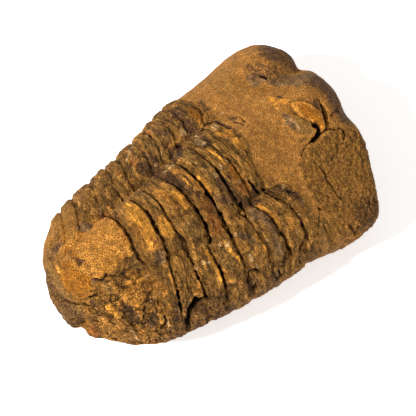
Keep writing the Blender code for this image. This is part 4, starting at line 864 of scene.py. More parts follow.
# Angular fragments. They are stretched by their flow, tip to one side and sink at the gaps between them
flakes = {
    "height": 0.4, "size": 2.6, "flow": (0.6, 1.0, 0.4), "wander": 0.5, "seed": 0.3, "tip": 0.5, "sink": 0.4,
    "tone": 0.65, "gapTone": 0.5,
}
crumbs = {
    "height": 0.2, "size": 1.0, "flow": (1.0, 1.0, 1.0), "wander": 0.4, "seed": 0.9, "tip": 0.6, "sink": 0.0,
    "tone": 0.35, "onRough": 0.3, "onFlaky": 0.2,
}
slivers = {
    "height": 0.16, "size": 1.0, "flow": (0.3, 1.0, 0.3), "wander": 0.15, "seed": 0.6, "tip": 0.6,
    "sink": 0.5, "tone": 0.7, "gapTone": 0.4,
}

# Fine relief: sizes and heights of what the stone's surface is made of
surface = {
    "noiseShape": (0.9, 2.1),  # how much weaker and how much finer each octave is
    "jagSize": 1.7,  # how cracks and edges of plates wander
    "jagReach": 0.38,
    "fineJagSize": 0.6,
    "fineJagReach": 0.14,
    "lineReach": 2.4,  # how far a seen line pulls the ribs beside it
    "lineHold": 0.35,
    "lineStep": 1.0,
    "backFrom": -0.05,  # paths lie on what is higher than this, from the widest level up
    "pathMargin": 3.0,
    "levelWeight": 0.15,  # how little a difference in height counts when a path is laid on the stone
    "alongPerDegree": 0.45,  # millimetres round the section
    "acrossPerSegment": 5.0,
    "beddingFlow": (1, 1, 0.3),
    "striaeHeight": 0.05,
    "striaeFlow": (0.22, 2.6, 1.0),  # fine across the rings, long along them
    "layerHeight": 0.22,
    "layerFlow": (0.12, 0.55, 1.0),
    "layerWander": 0.12,
    "layerSteps": 3.0,
    "layerTread": 0.72,  # the flat share of each step
    "shardSeeds": np.array([
        [127.1, 269.5, 113.5, 271.9],
        [311.7, 183.3, 57.3, 246.1],
        [74.7, 246.1, 191.9, 33.7],
    ]),
    "shardScatter": 43758.5,  # large, so that the marks of neighbouring cells have nothing in common
    "gapWidth": 0.09,
    "patchCalm": 0.6,  # how much smoother the rusty patches are
    "burial": 0.85,  # how much of the ribs the sandy cover hides
    "burialReach": 4.0,
    "burialEdge": 3.0,
    "hollowRounds": 14,  # how far round a point the surface is averaged to find its hollows
    "hollowDepth": 0.5,
    "ridgeHeight": 0.35,
}

# The rough coats of the stone: height, size, octaves, seed
roughCoats = {
    "crumple": (0.26, 2.6, 3, 29.0),
    "grit": (0.18, 1.0, 3, 41.0),
    "sand": (0.1, 2.4, 4, 53.0),
    "slab": (0.36, 0.95, 4, 61.0),
    "bare": (0.25, 2.2, 4, 71.0),
}

placeNames = ("sand", "slab", "ribbed", "flaky")
stainNames = ("rust", "amber", "ochre", "ember", "olive", "grey", "dark", "pale")


def noiseAt(places, size, octaves=1, shift=0.0):  # about -1 to 1, in lumps of this size
    fade, growth = surface["noiseShape"]
    return np.array([noise.fractal(p, fade, growth, octaves) for p in (places / size + shift).tolist()])


def shards(places, size, shift):  # level and tilt of the fragment at each place, distance to its edge
    places = places / size
    base = np.floor(places)
    best = np.full(len(places), np.inf)
    second, level, tilt = best.copy(), np.zeros(len(places)), np.zeros(len(places))
    for step in itertools.product((-1, 0, 1), repeat=3):
        cell = base + step
        marks = np.abs(np.modf(np.sin(cell @ surface["shardSeeds"] + shift) * surface["shardScatter"])[0])
        away = places - cell - marks[:, :3]
        gap = np.linalg.norm(away, axis=1)
        closer = gap < best
        second = np.where(closer, best, np.minimum(second, gap))
        best = np.where(closer, gap, best)
        level = np.where(closer, marks[:, 3], level)
        tilt = np.where(closer, (away * (2 * marks[:, :3] - 1)).sum(axis=1), tilt)
    return level, tilt, second - best


def fragments(kind, places, drift):  # their level, the gaps between them and their relief
    level, tilt, gap = shards(places * kind["flow"] + kind["wander"] * drift, kind["size"], kind["seed"])
    split = np.exp(-((gap / surface["gapWidth"]) ** 2))
    return level, split, level - 0.5 + kind["tip"] * tilt - kind["sink"] * split


def layOnBack(points, dirZ, path, step=0.5):  # a path's points this close together, on the stone
    upper = points[dirZ > surface["backFrom"]]
    full = []
    for place in path:
        if len(place) == 2:
            nearest = np.argmin((upper[:, 0] - place[0]) ** 2 + (upper[:, 1] - place[1]) ** 2)
            place = (*place, upper[nearest, 2])
        full.append(place)
    full = np.array(full, dtype=float)
    laid = [full[0]]
    for start, end in zip(full[:-1], full[1:]):
        pieces = max(1, int(round(np.linalg.norm(end - start) / step)))
        laid.extend(start + (end - start) * k / pieces for k in range(1, pieces + 1))
    reach = np.ptp(full[:, 1]) + surface["pathMargin"]
    near = points[np.abs(points[:, 1] - full[:, 1].mean()) < reach]
    weights = (1, 1, surface["levelWeight"])
    levels = [near[np.argmin(((near - place) ** 2 * weights).sum(axis=1)), 2] for place in laid]
    return np.column_stack([np.array(laid)[:, :2], levels])


def nearTo(places, corners, reach):
    return np.all((places > corners.min(axis=0) - reach) & (places < corners.max(axis=0) + reach), axis=1)


def runDistance(places, start, end):  # from each place to the straight run between two corners
    run = end - start
    share = np.clip((places - start) @ run / max(run @ run, tiny), 0, 1)
    return np.linalg.norm(places - start - share[:, None] * run, axis=1)


def pathDistance(points, path, reach):  # from each point to the path; far points are left at infinity
    nearest = np.full(len(points), np.inf)
    close = nearTo(points, path, reach)
    few = points[close]
    best = np.full(len(few), np.inf)
    for start, end in zip(path[:-1], path[1:]):
        best = np.minimum(best, runDistance(few, start, end))
    nearest[close] = best
    return nearest


def insideDistance(points, outline, reach):  # how far inside the outline, seen from above; below 0 outside
    corners = np.array(outline)
    places = points[:, :2]
    depth = np.full(len(places), -np.inf)
    close = nearTo(places, corners, reach)
    few = places[close]
    nearest = np.full(len(few), np.inf)
    inside = np.zeros(len(few), dtype=bool)
    for start, end in zip(corners, np.roll(corners, -1, axis=0)):
        nearest = np.minimum(nearest, runDistance(few, start, end))
        run = end - start
        rise = run[1] if abs(run[1]) > tiny else tiny
        crosses = (start[1] > few[:, 1]) != (end[1] > few[:, 1])
        inside ^= crosses & (few[:, 0] < start[0] + run[0] * (few[:, 1] - start[1]) / rise)
    depth[close] = np.where(inside, nearest, -nearest)
    return depth


def trueNumbers(points, number, dirZ):  # segment numbers pulled so that the ribs meet the lines seen
    pull = np.zeros(len(points))
    hold = np.full(len(points), surface["lineHold"])
    for line, *_, path in seenLines.values():
        for place in layOnBack(points, dirZ, path, surface["lineStep"]):
            away = np.linalg.norm(points - place, axis=1)
            weight = np.exp(-((away / surface["lineReach"]) ** 2))
            pull += weight * (line - number[np.argmin(away)])
            hold += weight
    return number + pull / hold


def terraces(field):  # turns a smooth field into flat terraces with short slopes
    steps = surface["layerSteps"]
    whole = np.floor(field * steps)
    return (whole + rampUp(surface["layerTread"], 1.0, field * steps - whole)) / steps


def wander(points):
    coarse = [noiseAt(points, surface["jagSize"], 2, shift) for shift in (11.3, 37.1)]
    fine = [noiseAt(points, surface["fineJagSize"], 1, shift) for shift in (5.7, 23.9)]
    coarse, fine = (np.stack(pair, axis=1) for pair in (coarse, fine))
    sideways = surface["jagReach"] * coarse + surface["fineJagReach"] * fine
    return np.column_stack([sideways, np.zeros(len(points))])


def colourLayers(jagged, dirZ, formed, facing):
    layers = {name: np.zeros(len(jagged)) for name in placeNames + stainNames}
    for name, cover, edge, outline in stains.values():
        depth = insideDistance(jagged, outline, paint["stainReach"] * edge)
        layers[name] = np.maximum(layers[name], cover * np.clip(0.5 + depth / (2 * edge), 0, 1))
    core, fade = paint["streakFade"]
    for name, strength, half, path in streaks.values():
        away = pathDistance(jagged, layOnBack(formed, dirZ, path), paint["streakReach"] * half)
        layers[name] = np.maximum(layers[name], strength * np.clip(core - fade * away / half, 0, 1))
    for reach, places in specks.values():
        for place in places:
            away = np.linalg.norm(jagged - layOnBack(formed, dirZ, (place,))[0], axis=1)
            layers["pale"] = np.maximum(layers["pale"], np.clip(paint["speckFade"] - away / reach, 0, 1))
    hidden = 1 - rampUp(*paint["seenFrom"], facing @ np.array(cameraAxes()[2]))
    for name in stainNames:
        layers[name] = layers[name] * (1 - hidden)
    for name, cover, size, shift in unseenStains:
        patches = cover * rampUp(0.0, paint["patchEdge"], noiseAt(formed, size, 3, shift))
        layers[name] = np.maximum(layers[name], hidden * patches)
    return layers


def averaged(bm, values, rounds):
    ends = np.array([(e.verts[0].index, e.verts[1].index) for e in bm.edges])
    count = np.bincount(ends.ravel(), minlength=len(values))
    for _ in range(rounds):
        total = np.bincount(ends[:, 0], values[ends[:, 1]], len(values))
        total += np.bincount(ends[:, 1], values[ends[:, 0]], len(values))
        values = 0.5 * values + 0.5 * total / np.maximum(count, 1)
    return values


def coarseShape(plain, normals, number, dirZ, bare):
    depth = insideDistance(plain, stains["sandy cover of the head"][3], surface["burialReach"])
    buried = np.clip(0.5 + depth / surface["burialEdge"], 0, 1)
    ribs = segmentRelief(plain, number) * (1 - surface["burial"] * buried)
    height = middleLobe(plain, dirZ) + ribs + swells(plain, dirZ)
    height += lump["lumpDepth"] * bare * noiseAt(plain, lump["lumpSize"])
    formed = pressBreaks(plain + normals * height[:, None])
    for width, deep, path in grooves.values():
        away = pathDistance(formed, layOnBack(formed, dirZ, path), 3 * width)
        formed = formed - normals * (deep * np.exp(-((away / width) ** 2)))[:, None]
    return formed


def crackRelief(formed, drift, dirZ):  # what the cracks cut away, and the painted shade that darkens them
    cut, crackShade = np.zeros(len(formed)), np.zeros(len(formed))
    cracked = formed + crackLook["jag"] * drift
    bumpy = noiseAt(formed, crackLook["bumpSize"], 1, 3.0)
    change = 1 + crackLook["widthChange"] * bumpy

    def uneven(mean, swing, least, most):
        return np.clip(mean + swing * bumpy, least, most)

    def trench(away, width):  # 1 in a flat bottom, with steep walls
        return np.exp(-((away / (width * change)) ** 4))

    for width, deep, black, path in [line[1:] for line in seenLines.values()] + list(cracks.values()):
        away = pathDistance(cracked, layOnBack(formed, dirZ, path), 3 * width)
        cut += deep * trench(away, width) * uneven(*crackLook["depth"])
        # painted shade, darkest along the middle of each crack
        crackShadeStrength = black * uneven(*crackLook["crackShadeStrength"])
        crackShade = np.maximum(crackShade, crackShadeStrength * trench(away, crackLook["crackShadeWidth"] * width))
    return cut, crackShade


def fineRelief(formed, drift, flow, layers, dirZ, bare):
    ribbed, flaky, sand, slab = (layers[name] for name in ("ribbed", "flaky", "sand", "slab"))
    bedding = flow * surface["beddingFlow"]
    cut, layers["crackShade"] = crackRelief(formed, drift, dirZ)
    relief = -cut
    for tall, edge, outline in plates.values():
        relief += tall * rampUp(-edge / 2, edge / 2, insideDistance(formed + drift, outline, edge))
    rusty = np.maximum(layers["rust"], layers["amber"])
    rough = np.clip(1 - sand - bare - surface["patchCalm"] * rusty, 0, 1)
    relief += surface["striaeHeight"] * ribbed * noiseAt(bedding * surface["striaeFlow"], 1.0, 3)
    layering = noiseAt(bedding * surface["layerFlow"] + surface["layerWander"] * drift, 1.0, 3, 8.0)
    relief += surface["layerHeight"] * ribbed * terraces(layering)
    flake, flakeGap, flakeRelief = fragments(flakes, flow, drift)
    crumb, _, crumbRelief = fragments(crumbs, formed, drift)
    sliver, sliverGap, sliverRelief = fragments(slivers, bedding, drift)
    relief += flakes["height"] * flaky * flakeRelief
    relief += crumbs["height"] * (crumbs["onRough"] * rough + crumbs["onFlaky"] * flaky) * crumbRelief
    relief += slivers["height"] * ribbed * rough * sliverRelief
    flakeTone = flakes["tone"] * flake + crumbs["tone"] * crumb - 0.5 - flakes["gapTone"] * flakeGap
    sliverTone = slivers["tone"] * (sliver - 0.5) - slivers["gapTone"] * sliverGap
    layers["chip"] = flaky * flakeTone + ribbed * rough * (1 - flaky) * sliverTone
    onFlakes = {"crumple": 1 - 0.5 * flaky, "grit": 1 - 0.8 * flaky}
    shares = {"sand": sand, "slab": slab, "bare": bare, **{name: rough * on for name, on in onFlakes.items()}}
    for name, (tall, size, octaves, shift) in roughCoats.items():
        relief += tall * shares[name] * noiseAt(formed, size, octaves, shift)
    return relief


def moveTo(bm, places):
    for vert, place in zip(bm.verts, places.tolist()):
        vert.co = place


def makeStone():
    bm = blockGrid()
    plain, normals, number, dirZ, turn = plainLump(np.array([v.co for v in bm.verts]))
    print("stone grid:", len(bm.verts), "points")
    number = trueNumbers(plain + normals * middleLobe(plain, dirZ)[:, None], number, dirZ)
    bare = rampUp(lump["bareFrom"], lump["bareTo"], dirZ)
    formed = coarseShape(plain, normals, number, dirZ, bare)
    moveTo(bm, formed)
    bm.normal_update()
    facing = 0.5 * normals + 0.5 * np.array([v.normal for v in bm.verts])
    facing /= np.linalg.norm(facing, axis=1)[:, None]
    print("coarse shape made")

    drift = wander(formed)
    layers = colourLayers(formed + drift, dirZ, formed, facing)
    print("colour layers laid out")
    along, across = surface["alongPerDegree"] * turn, surface["acrossPerSegment"] * number
    flow = np.stack([along, across, formed[:, 2]], axis=1)
    relief = fineRelief(formed, drift, flow, layers, dirZ, bare)
    # hollow and ridge say how far the relief lies below or above its surroundings; the material paints shade
    # into the hollows and a highlight onto the ridges
    around = averaged(bm, relief, surface["hollowRounds"])
    layers["hollow"] = np.clip((around - relief) / surface["hollowDepth"], 0, 1)
    layers["ridge"] = np.clip((relief - around) / surface["ridgeHeight"], 0, 1)
    moveTo(bm, (formed + facing * relief[:, None]) / 1000)
    print("fine relief cut")
    for name, values in {**layers, "flow": flow}.items():
        kinds = bm.verts.layers.float_vector if name == "flow" else bm.verts.layers.float
        mark = kinds.new(name)
        for vert, value in zip(bm.verts, values.tolist()):
            vert[mark] = value
    return bm


def dropLooseBits(bm):  # the cut leaves bits of the rough belly behind, which aren't joined to the stone
    top = max(bm.verts, key=lambda v: v.co.z)
    joined, waiting = {top}, [top]
    while waiting:
        vert = waiting.pop()
        for other in {edge.other_vert(vert) for edge in vert.link_edges} - joined:
            joined.add(other)
            waiting.append(other)
    bmesh.ops.delete(bm, geom=[v for v in bm.verts if v not in joined], context="VERTS")


def seatStone(bm):  # cuts the belly flat, and centres the stone on the box of the solid that it replaces
    bmesh.ops.bisect_plane(
        bm, geom=bm.verts[:] + bm.edges[:] + bm.faces[:], dist=1e-7,
        plane_co=(0, 0, 0), plane_no=(0, 0, 1), clear_inner=True,
    )
    dropLooseBits(bm)
    bmesh.ops.edgenet_fill(bm, edges=[e for e in bm.edges if e.is_boundary])
    places = np.array([v.co for v in bm.verts])
    low, high = places.min(axis=0), places.max(axis=0)
    middle = (cadLow + cadHigh) / 2
    shift = Vector((middle.x - (low[0] + high[0]) / 2, middle.y - (low[1] + high[1]) / 2, -low[2]))
    bmesh.ops.translate(bm, verts=bm.verts[:], vec=shift)
    bmesh.ops.recalc_face_normals(bm, faces=bm.faces[:])


bm = makeStone()
seatStone(bm)
mesh = bpy.data.meshes.new("trilobiteStone")
bm.to_mesh(mesh)
bm.free()
mesh.shade_smooth()
stone = bpy.data.objects.new("trilobiteStone", mesh)
bpy.context.scene.collection.objects.link(stone)
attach(stone, "root")
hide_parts("trilobite_fossil")
print("stone mesh:", sum(len(f.vertices) - 2 for f in mesh.polygons), "triangles")


# Colours of the stone as seen in plain light, red green blue from 0 to 255
palette = {
    "body": ((130, 88, 37), (168, 114, 46)),
    "ribs": ((118, 81, 38), (178, 124, 54)),
    "sand": ((154, 103, 44), (176, 119, 53)),
    "slab": ((140, 95, 41), (174, 119, 50)),
    "olive": ((120, 85, 41), (159, 114, 52)),
    "grey": ((111, 81, 50), (148, 109, 66)),
    "rust": ((158, 101, 36), (200, 136, 55)),
    "amber": ((202, 130, 42), (242, 168, 66)),
    "ochre": ((142, 86, 16), (172, 106, 26)),
    "ember": ((144, 88, 38), (176, 107, 44)),
    "dark": ((82, 55, 31), (118, 80, 43)),
    "pale": ((178, 134, 80), (204, 160, 104)),
    # near-black painted shade in the cracks and pits
    "crackShade": (32, 21, 13),
    "specks": (66, 42, 25),
}

# The colours from the lowest layer up: scale, wobble and softness of the edge, what mixes the two tones
colourEdges = {
    "sand": (0.8, 0.7, 0.1, "mottle"),
    "slab": (0.8, 0.4, 0.2, "mottle"),
    "olive": (1.2, 0.8, 0.1, "streak"),
    "grey": (1.3, 0.6, 0.08, "mottle"),
    "rust": (1.3, 0.55, 0.06, "mottle"),
    "amber": (1.3, 0.6, 0.07, "mottle"),
    "ochre": (1.3, 0.6, 0.12, "mottle"),
    "ember": (1.4, 1.1, 0.15, "mottle"),
    "dark": (1.8, 1.4, 0.12, "mottle"),
    "pale": (1.6, 0.5, 0.08, "mottle"),
}

# Sizes in millimetres, tones and heights as shares
finish = {
    "roughness": (0.78, 0.92),
    "specular": 0.15,
    "cloudRange": (0.35, 0.65),  # what part of each noise runs from one tone to the other
    "mottleRange": (0.3, 0.7),
    "streakRange": (0.32, 0.68),
    "brightRange": (0.52, 0.72),
    "ribTone": 0.65,
    "grainSize": 0.28,
    "grainTone": 1.0,
    "grainClumps": 0.9,  # how unevenly the grain is spread
    "grainCalm": 0.3,  # how much weaker it is on sand and ribs
    "grainPale": 0.2,  # how far the brightest grains turn pale
    "mottleSize": 1.6,
    "mottleTone": 0.2,
    "patchSize": 6.5,
    "chipSize": 1.3,
    "chipBump": 0.6,
    "chipWarp": 1.8,
    "warpScale": 0.7,
    "seamWidth": 0.07,
    "seamBump": -0.3,
    "sliverScale": (0.42, 1.7, 0.3),
    "chipTone": 0.25,
    "plateTone": 0.55,
    "speckSize": 0.6,
    "speckSpread": (0.1, 0.45),  # everywhere, and more in dark broken places
    "speckRange": (0.6, 0.67),
    "crumbRange": (0.63, 0.68),
    "crackShadeEdge": (1.5, 0.3, 0.25),
    "seamDark": 0.6,
    "bumpDepth": 0.0006,
    "slabBump": 0.6,
    "knobBump": 1.8,
    "knobScale": 1.25,
    "sandBump": 0.7,
    "bandBump": 0.25,
    "streakTone": 0.26,
    "streakScale": (0.35, 3.2, 0.3),
    # painted shade in the hollows of the relief, and a painted highlight on its ridges
    "hollowShade": 0.3,
    "ridgeHighlight": 0.28,
}


def linearColour(red, green, blue):
    shares = [c / 255 for c in (red, green, blue)]
    return tuple(s / 12.92 if s <= 0.04045 else ((s + 0.055) / 1.055) ** 2.4 for s in shares) + (1.0,)


def feed(tree, inlet, source):  # a socket is linked, anything else is set
    if isinstance(source, bpy.types.NodeSocket):
        tree.links.new(source, inlet)
    else:
        inlet.default_value = source


def addNode(tree, kind, x, y, feeds, **settings):  # the settings come first, because sockets depend on them
    node = tree.nodes.new("ShaderNode" + kind)
    node.location = (x, y)
    for name, value in settings.items():
        setattr(node, name, value)
    for name, source in feeds.items():
        feed(tree, node.inputs[name], source)
    return node


def mathStep(tree, operation, first, second, x, y, third=0.5, clamp=False):
    feeds = {0: first, 1: second, 2: third}
    return addNode(tree, "Math", x, y, feeds, operation=operation, use_clamp=clamp).outputs[0]


def blendColour(tree, mask, below, above, x, y):
    feeds = {"Factor": mask, "A": below, "B": above}
    return addNode(tree, "Mix", x, y, feeds, data_type="RGBA").outputs["Result"]


def cloudNoise(tree, place, scale, detail, roughness, x, y, **others):
    feeds = {"Vector": place, "Scale": scale, "Detail": detail, "Roughness": roughness, **others}
    return addNode(tree, "TexNoise", x, y, feeds)


def cells(tree, place, scale, x, y, **settings):
    return addNode(tree, "TexVoronoi", x, y, {"Vector": place, "Scale": scale}, **settings)


def contrast(tree, value, low, high, x, y, start=0.0, end=1.0, **settings):
    feeds = {"Value": value, "From Min": low, "From Max": high, "To Min": start, "To Max": end}
    return addNode(tree, "MapRange", x, y, feeds, **settings).outputs["Result"]


def smoothContrast(tree, value, low, high, x, y, start=0.0, end=1.0):
    return contrast(tree, value, low, high, x, y, start, end, interpolation_type="SMOOTHSTEP")


def newGroup(name, inlets, outlets):  # an inlet is the value of a number, or the kind of another socket
    group = bpy.data.node_groups.new(name, "ShaderNodeTree")
    for title, value in inlets.items():
        kind = value if isinstance(value, str) else "Float"
        socket = group.interface.new_socket(name=title, in_out="INPUT", socket_type="NodeSocket" + kind)
        if kind == "Float":
            socket.default_value = value
    for title, kind in outlets.items():
        group.interface.new_socket(name=title, in_out="OUTPUT", socket_type="NodeSocket" + kind)
    return group, group.nodes.new("NodeGroupInput").outputs, group.nodes.new("NodeGroupOutput").inputs


def stainEdgeGroup():  # breaks the soft edge of a painted field into a ragged, mottled one
    inlets = {"Field": 0.0, "Place": "Vector", "Scale": 1.0, "Wobble": 0.6, "Softness": 0.1}
    group, given, result = newGroup("stainEdge", inlets, {"Mask": "Float"})
    cloud = cloudNoise(group, given["Place"], given["Scale"], 5.0, 0.62, -300, -100)
    offset = mathStep(group, "SUBTRACT", cloud.outputs["Fac"], 0.5, -100, -100)
    shifted = mathStep(group, "MULTIPLY_ADD", offset, given["Wobble"], 50, 0, given["Field"])
    low = mathStep(group, "SUBTRACT", 0.5, given["Softness"], 50, -200)
    high = mathStep(group, "ADD", 0.5, given["Softness"], 50, -350)
    feed(group, result["Mask"], smoothContrast(group, shifted, low, high, 250, 0))
    return group


def rockGrainGroup():  # tone and height of broken siltstone: crumbs, cells and clouds
    inlets = {
        "Place": "Vector", "Grain Scale": 2.0, "Mottle Scale": 0.6, "Chip Scale": 0.8, "Speck Scale": 1.4,
        "Broken": 0.0, "Chip Place": "Vector",
    }
    titles = ("Grain", "Mottle", "Height", "Chips", "Cracks", "Specks", "Crumbs", "Knobs")
    group, given, result = newGroup("rockGrain", inlets, {title: "Float" for title in titles})
    place, broken = given["Place"], given["Broken"]
    grain = cloudNoise(group, place, given["Grain Scale"], 4.0, 0.7, -300, 200).outputs["Fac"]
    mottle = cloudNoise(group, place, given["Mottle Scale"], 4.0, 0.6, -300, -50).outputs["Fac"]
    grains = cells(group, place, given["Grain Scale"], -300, -300)
    pits = mathStep(group, "MULTIPLY", grains.outputs["Distance"], 0.5, -100, -300)
    low = mathStep(group, "MULTIPLY", mottle, 0.6, -100, -100)
    height = mathStep(group, "ADD", mathStep(group, "SUBTRACT", grain, pits, 50, 50), low, 200, 0)
    warp = cloudNoise(group, place, finish["warpScale"], 3.0, 0.5, -900, -600).outputs["Color"]
    feeds = {0: warp, 1: (finish["chipWarp"],) * 3, 2: given["Chip Place"]}
    moved = addNode(group, "VectorMath", -700, -600, feeds, operation="MULTIPLY_ADD").outputs["Vector"]
    chunks = cells(group, moved, given["Chip Scale"], -500, -500)
    seams = cells(group, moved, given["Chip Scale"], -500, -800, feature="DISTANCE_TO_EDGE")
    chips = addNode(group, "SeparateColor", -300, -500, {"Color": chunks.outputs["Color"]}).outputs["Red"]
    edge = seams.outputs["Distance"]
    gap = smoothContrast(group, edge, 0.0, finish["seamWidth"], -300, -800, 1.0, 0.0)
    split = mathStep(group, "MULTIPLY", gap, broken, -100, -800)
    sunk = mathStep(group, "MULTIPLY", split, finish["seamBump"], 50, -800)
    plate = mathStep(group, "MULTIPLY", chips, broken, -100, -600)
    plate = mathStep(group, "MULTIPLY_ADD", plate, finish["chipBump"], 100, -600, sunk)
    for title, shift, name in (("Specks", 13.0, "speckRange"), ("Crumbs", 41.0, "crumbRange")):
        y = -1000 - 10 * shift
        aside = addNode(group, "VectorMath", -700, y, {0: place, 1: (shift, shift, shift)}, operation="ADD")
        dots = cloudNoise(group, aside.outputs["Vector"], given["Speck Scale"], 3.0, 0.65, -500, y)
        feed(group, result[title], smoothContrast(group, dots.outputs["Fac"], *finish[name], -300, y))
    knobs = cells(group, place, finish["knobScale"], -300, -1700, feature="SMOOTH_F1")
    feed(group, result["Knobs"], mathStep(group, "SUBTRACT", 1.0, knobs.outputs["Distance"], -100, -1700))
    feed(group, result["Chips"], chips)
    feed(group, result["Cracks"], split)
    feed(group, result["Grain"], grain)
    feed(group, result["Mottle"], mottle)
    feed(group, result["Height"], mathStep(group, "ADD", height, plate, 300, -200))
    return group


def toneGroup():  # lightens or darkens a colour by a tone that is 0.5 where nothing changes
    inlets = {"Colour": "Color", "Tone": 0.5, "Amount": 0.2}
    group, given, result = newGroup("toneShift", inlets, {"Colour": "Color"})
    offset = mathStep(group, "SUBTRACT", given["Tone"], 0.5, -200, 0)
    strong = mathStep(group, "MULTIPLY", offset, given["Amount"], -50, 0)
    factor = mathStep(group, "MULTIPLY_ADD", strong, 4.0, 100, 0, 1.0)
    bounded = mathStep(group, "MAXIMUM", factor, 0.15, 250, 0)
    scale = addNode(group, "VectorMath", 400, 0, {0: given["Colour"], "Scale": bounded}, operation="SCALE")
    feed(group, result["Colour"], scale.outputs["Vector"])
    return group


def brownSiltstone():
    material = bpy.data.materials.new("brownSiltstone")
    material.use_nodes = True
    tree = material.node_tree
    shader = tree.nodes["Principled BSDF"]
    shader.location = (2600, 0)
    tree.nodes["Material Output"].location = (2900, 0)
    edge, tone = stainEdgeGroup(), toneGroup()

    def step(operation, first, second, x, y, third=0.5, clamp=False):
        return mathStep(tree, operation, first, second, x, y, third, clamp)

    def mask(name, scale, wobble, softness, x, y):
        feeds = {"Field": painted[name], "Place": place}
        feeds.update({"Scale": scale, "Wobble": wobble, "Softness": softness})
        return addNode(tree, "Group", x, y, feeds, node_tree=edge).outputs["Mask"]

    def tint(name, mix, x, y):
        low, high = (linearColour(*c) for c in palette[name])
        return blendColour(tree, mix, low, high, x, y)

    def toned(below, value, amount, x, y):
        feeds = {"Colour": below, "Tone": value, "Amount": amount}
        return addNode(tree, "Group", x, y, feeds, node_tree=tone).outputs["Colour"]

    coordinates = addNode(tree, "TexCoord", -2200, 0, {}).outputs["Object"]
    millimetres = {"Vector": coordinates, "Scale": (1000, 1000, 1000)}
    place = addNode(tree, "Mapping", -2000, 0, millimetres).outputs["Vector"]
    painted = {}
    for row, name in enumerate(placeNames + stainNames + ("hollow", "ridge", "crackShade", "chip", "flow")):
        node = addNode(tree, "Attribute", -2000, -300 - 180 * row, {}, attribute_name=name)
        painted[name] = node.outputs["Vector" if name == "flow" else "Fac"]
    ribbed, flow = painted["ribbed"], painted["flow"]

    loose = step("MAXIMUM", ribbed, painted["flaky"], -1900, 300)
    covered = step("MAXIMUM", painted["sand"], painted["slab"], -1900, 150)
    broken = step("SUBTRACT", loose, covered, -1800, 250, clamp=True)
    feeds = {"Vector": flow, "Scale": finish["sliverScale"]}
    sliverPlace = addNode(tree, "Mapping", -1900, 500, feeds).outputs["Vector"]
    onRibs = step("SUBTRACT", ribbed, painted["flaky"], -1850, 400)
    feeds = {"Factor": onRibs, 4: place, 5: sliverPlace}
    chipPlace = addNode(tree, "Mix", -1800, 500, feeds, data_type="VECTOR").outputs[1]
    feeds = {"Place": place, "Broken": broken, "Chip Place": chipPlace}
    for name in ("grain", "mottle", "chip", "speck"):
        feeds[name.title() + " Scale"] = 1 / finish[name + "Size"]
    rock = addNode(tree, "Group", -1700, 200, feeds, node_tree=rockGrainGroup()).outputs
    patches = cloudNoise(tree, place, 1 / finish["patchSize"], 5.0, 0.6, -1700, -100)
    bandPlace = addNode(tree, "Mapping", -1700, -400, {"Vector": flow, "Scale": finish["streakScale"]})
    bands = cloudNoise(tree, bandPlace.outputs["Vector"], 1.0, 4.0, 0.6, -1500, -400, Distortion=0.4)
    clouds = contrast(tree, patches.outputs["Fac"], *finish["cloudRange"], -1500, -100)
    mottle = contrast(tree, rock["Mottle"], *finish["mottleRange"], -1500, 100)
    streak = contrast(tree, bands.outputs["Fac"], *finish["streakRange"], -1300, -400)

    colour = tint("body", clouds, -1200, 300)
    ribMask = step("MULTIPLY", ribbed, finish["ribTone"], -1000, -200)
    colour = blendColour(tree, ribMask, colour, tint("ribs", streak, -1200, 0), -900, 300)
    mixes = {"mottle": mottle, "streak": streak}
    for number, (name, (scale, wobble, softness, mix)) in enumerate(colourEdges.items()):
        x = -700 + 260 * number
        cover = mask(name, scale, wobble, softness, x - 60, -300)
        colour = blendColour(tree, cover, colour, tint(name, mixes[mix], x - 60, 550), x + 120, 300)

    colour = toned(colour, mottle, finish["mottleTone"] * 0.5, 1400, 300)
    uneven = step("SUBTRACT", mottle, 0.5, 1350, 600)
    clumps = finish["grainClumps"] * finish["grainTone"] * 2
    amount = step("MULTIPLY_ADD", uneven, clumps, 1450, 600, finish["grainTone"] * 2)
    softer = step("ADD", painted["sand"], ribbed, 1350, 750, clamp=True)
    calm = step("MULTIPLY_ADD", softer, -finish["grainCalm"], 1450, 750, 1.0)
    colour = toned(colour, rock["Grain"], step("MULTIPLY", amount, calm, 1500, 700), 1550, 300)
    bright = contrast(tree, rock["Grain"], *finish["brightRange"], 1450, 500)
    paleMask = step("MULTIPLY", bright, finish["grainPale"], 1550, 500, clamp=True)
    colour = blendColour(tree, paleMask, colour, linearColour(*palette["pale"][1]), 1600, 450)

    bandSwing = step("SUBTRACT", streak, 0.5, 1400, -100)
    chipSwing = step("SUBTRACT", rock["Chips"], 0.5, 1400, -500)
    # these tone swings include painted shade in the hollows and a painted highlight on the ridges
    swings = (
        (bandSwing, step("MULTIPLY", ribbed, finish["streakTone"], 1400, -250)),
        (painted["hollow"], -finish["hollowShade"]),
        (painted["ridge"], finish["ridgeHighlight"]),
        (painted["chip"], finish["plateTone"]),
        (chipSwing, step("MULTIPLY", broken, finish["chipTone"], 1400, -650)),
    )
    for number, (swing, strength) in enumerate(swings):
        shifted = step("MULTIPLY_ADD", swing, strength, 1600 + 90 * number, -100 - 150 * number, 0.5)
        colour = toned(colour, shifted, 0.5, 1700 + 90 * number, 300)

    everywhere, more = finish["speckSpread"]
    cloudy = step("MULTIPLY", step("ADD", clouds, painted["dark"], 1800, -900), broken, 1900, -900)
    spread = step("MULTIPLY_ADD", cloudy, more, 2000, -900, everywhere, clamp=True)
    seams = step("MULTIPLY", rock["Cracks"], finish["seamDark"], 2000, -1000)
    spots = step("MAXIMUM", rock["Specks"], seams, 2050, -700)
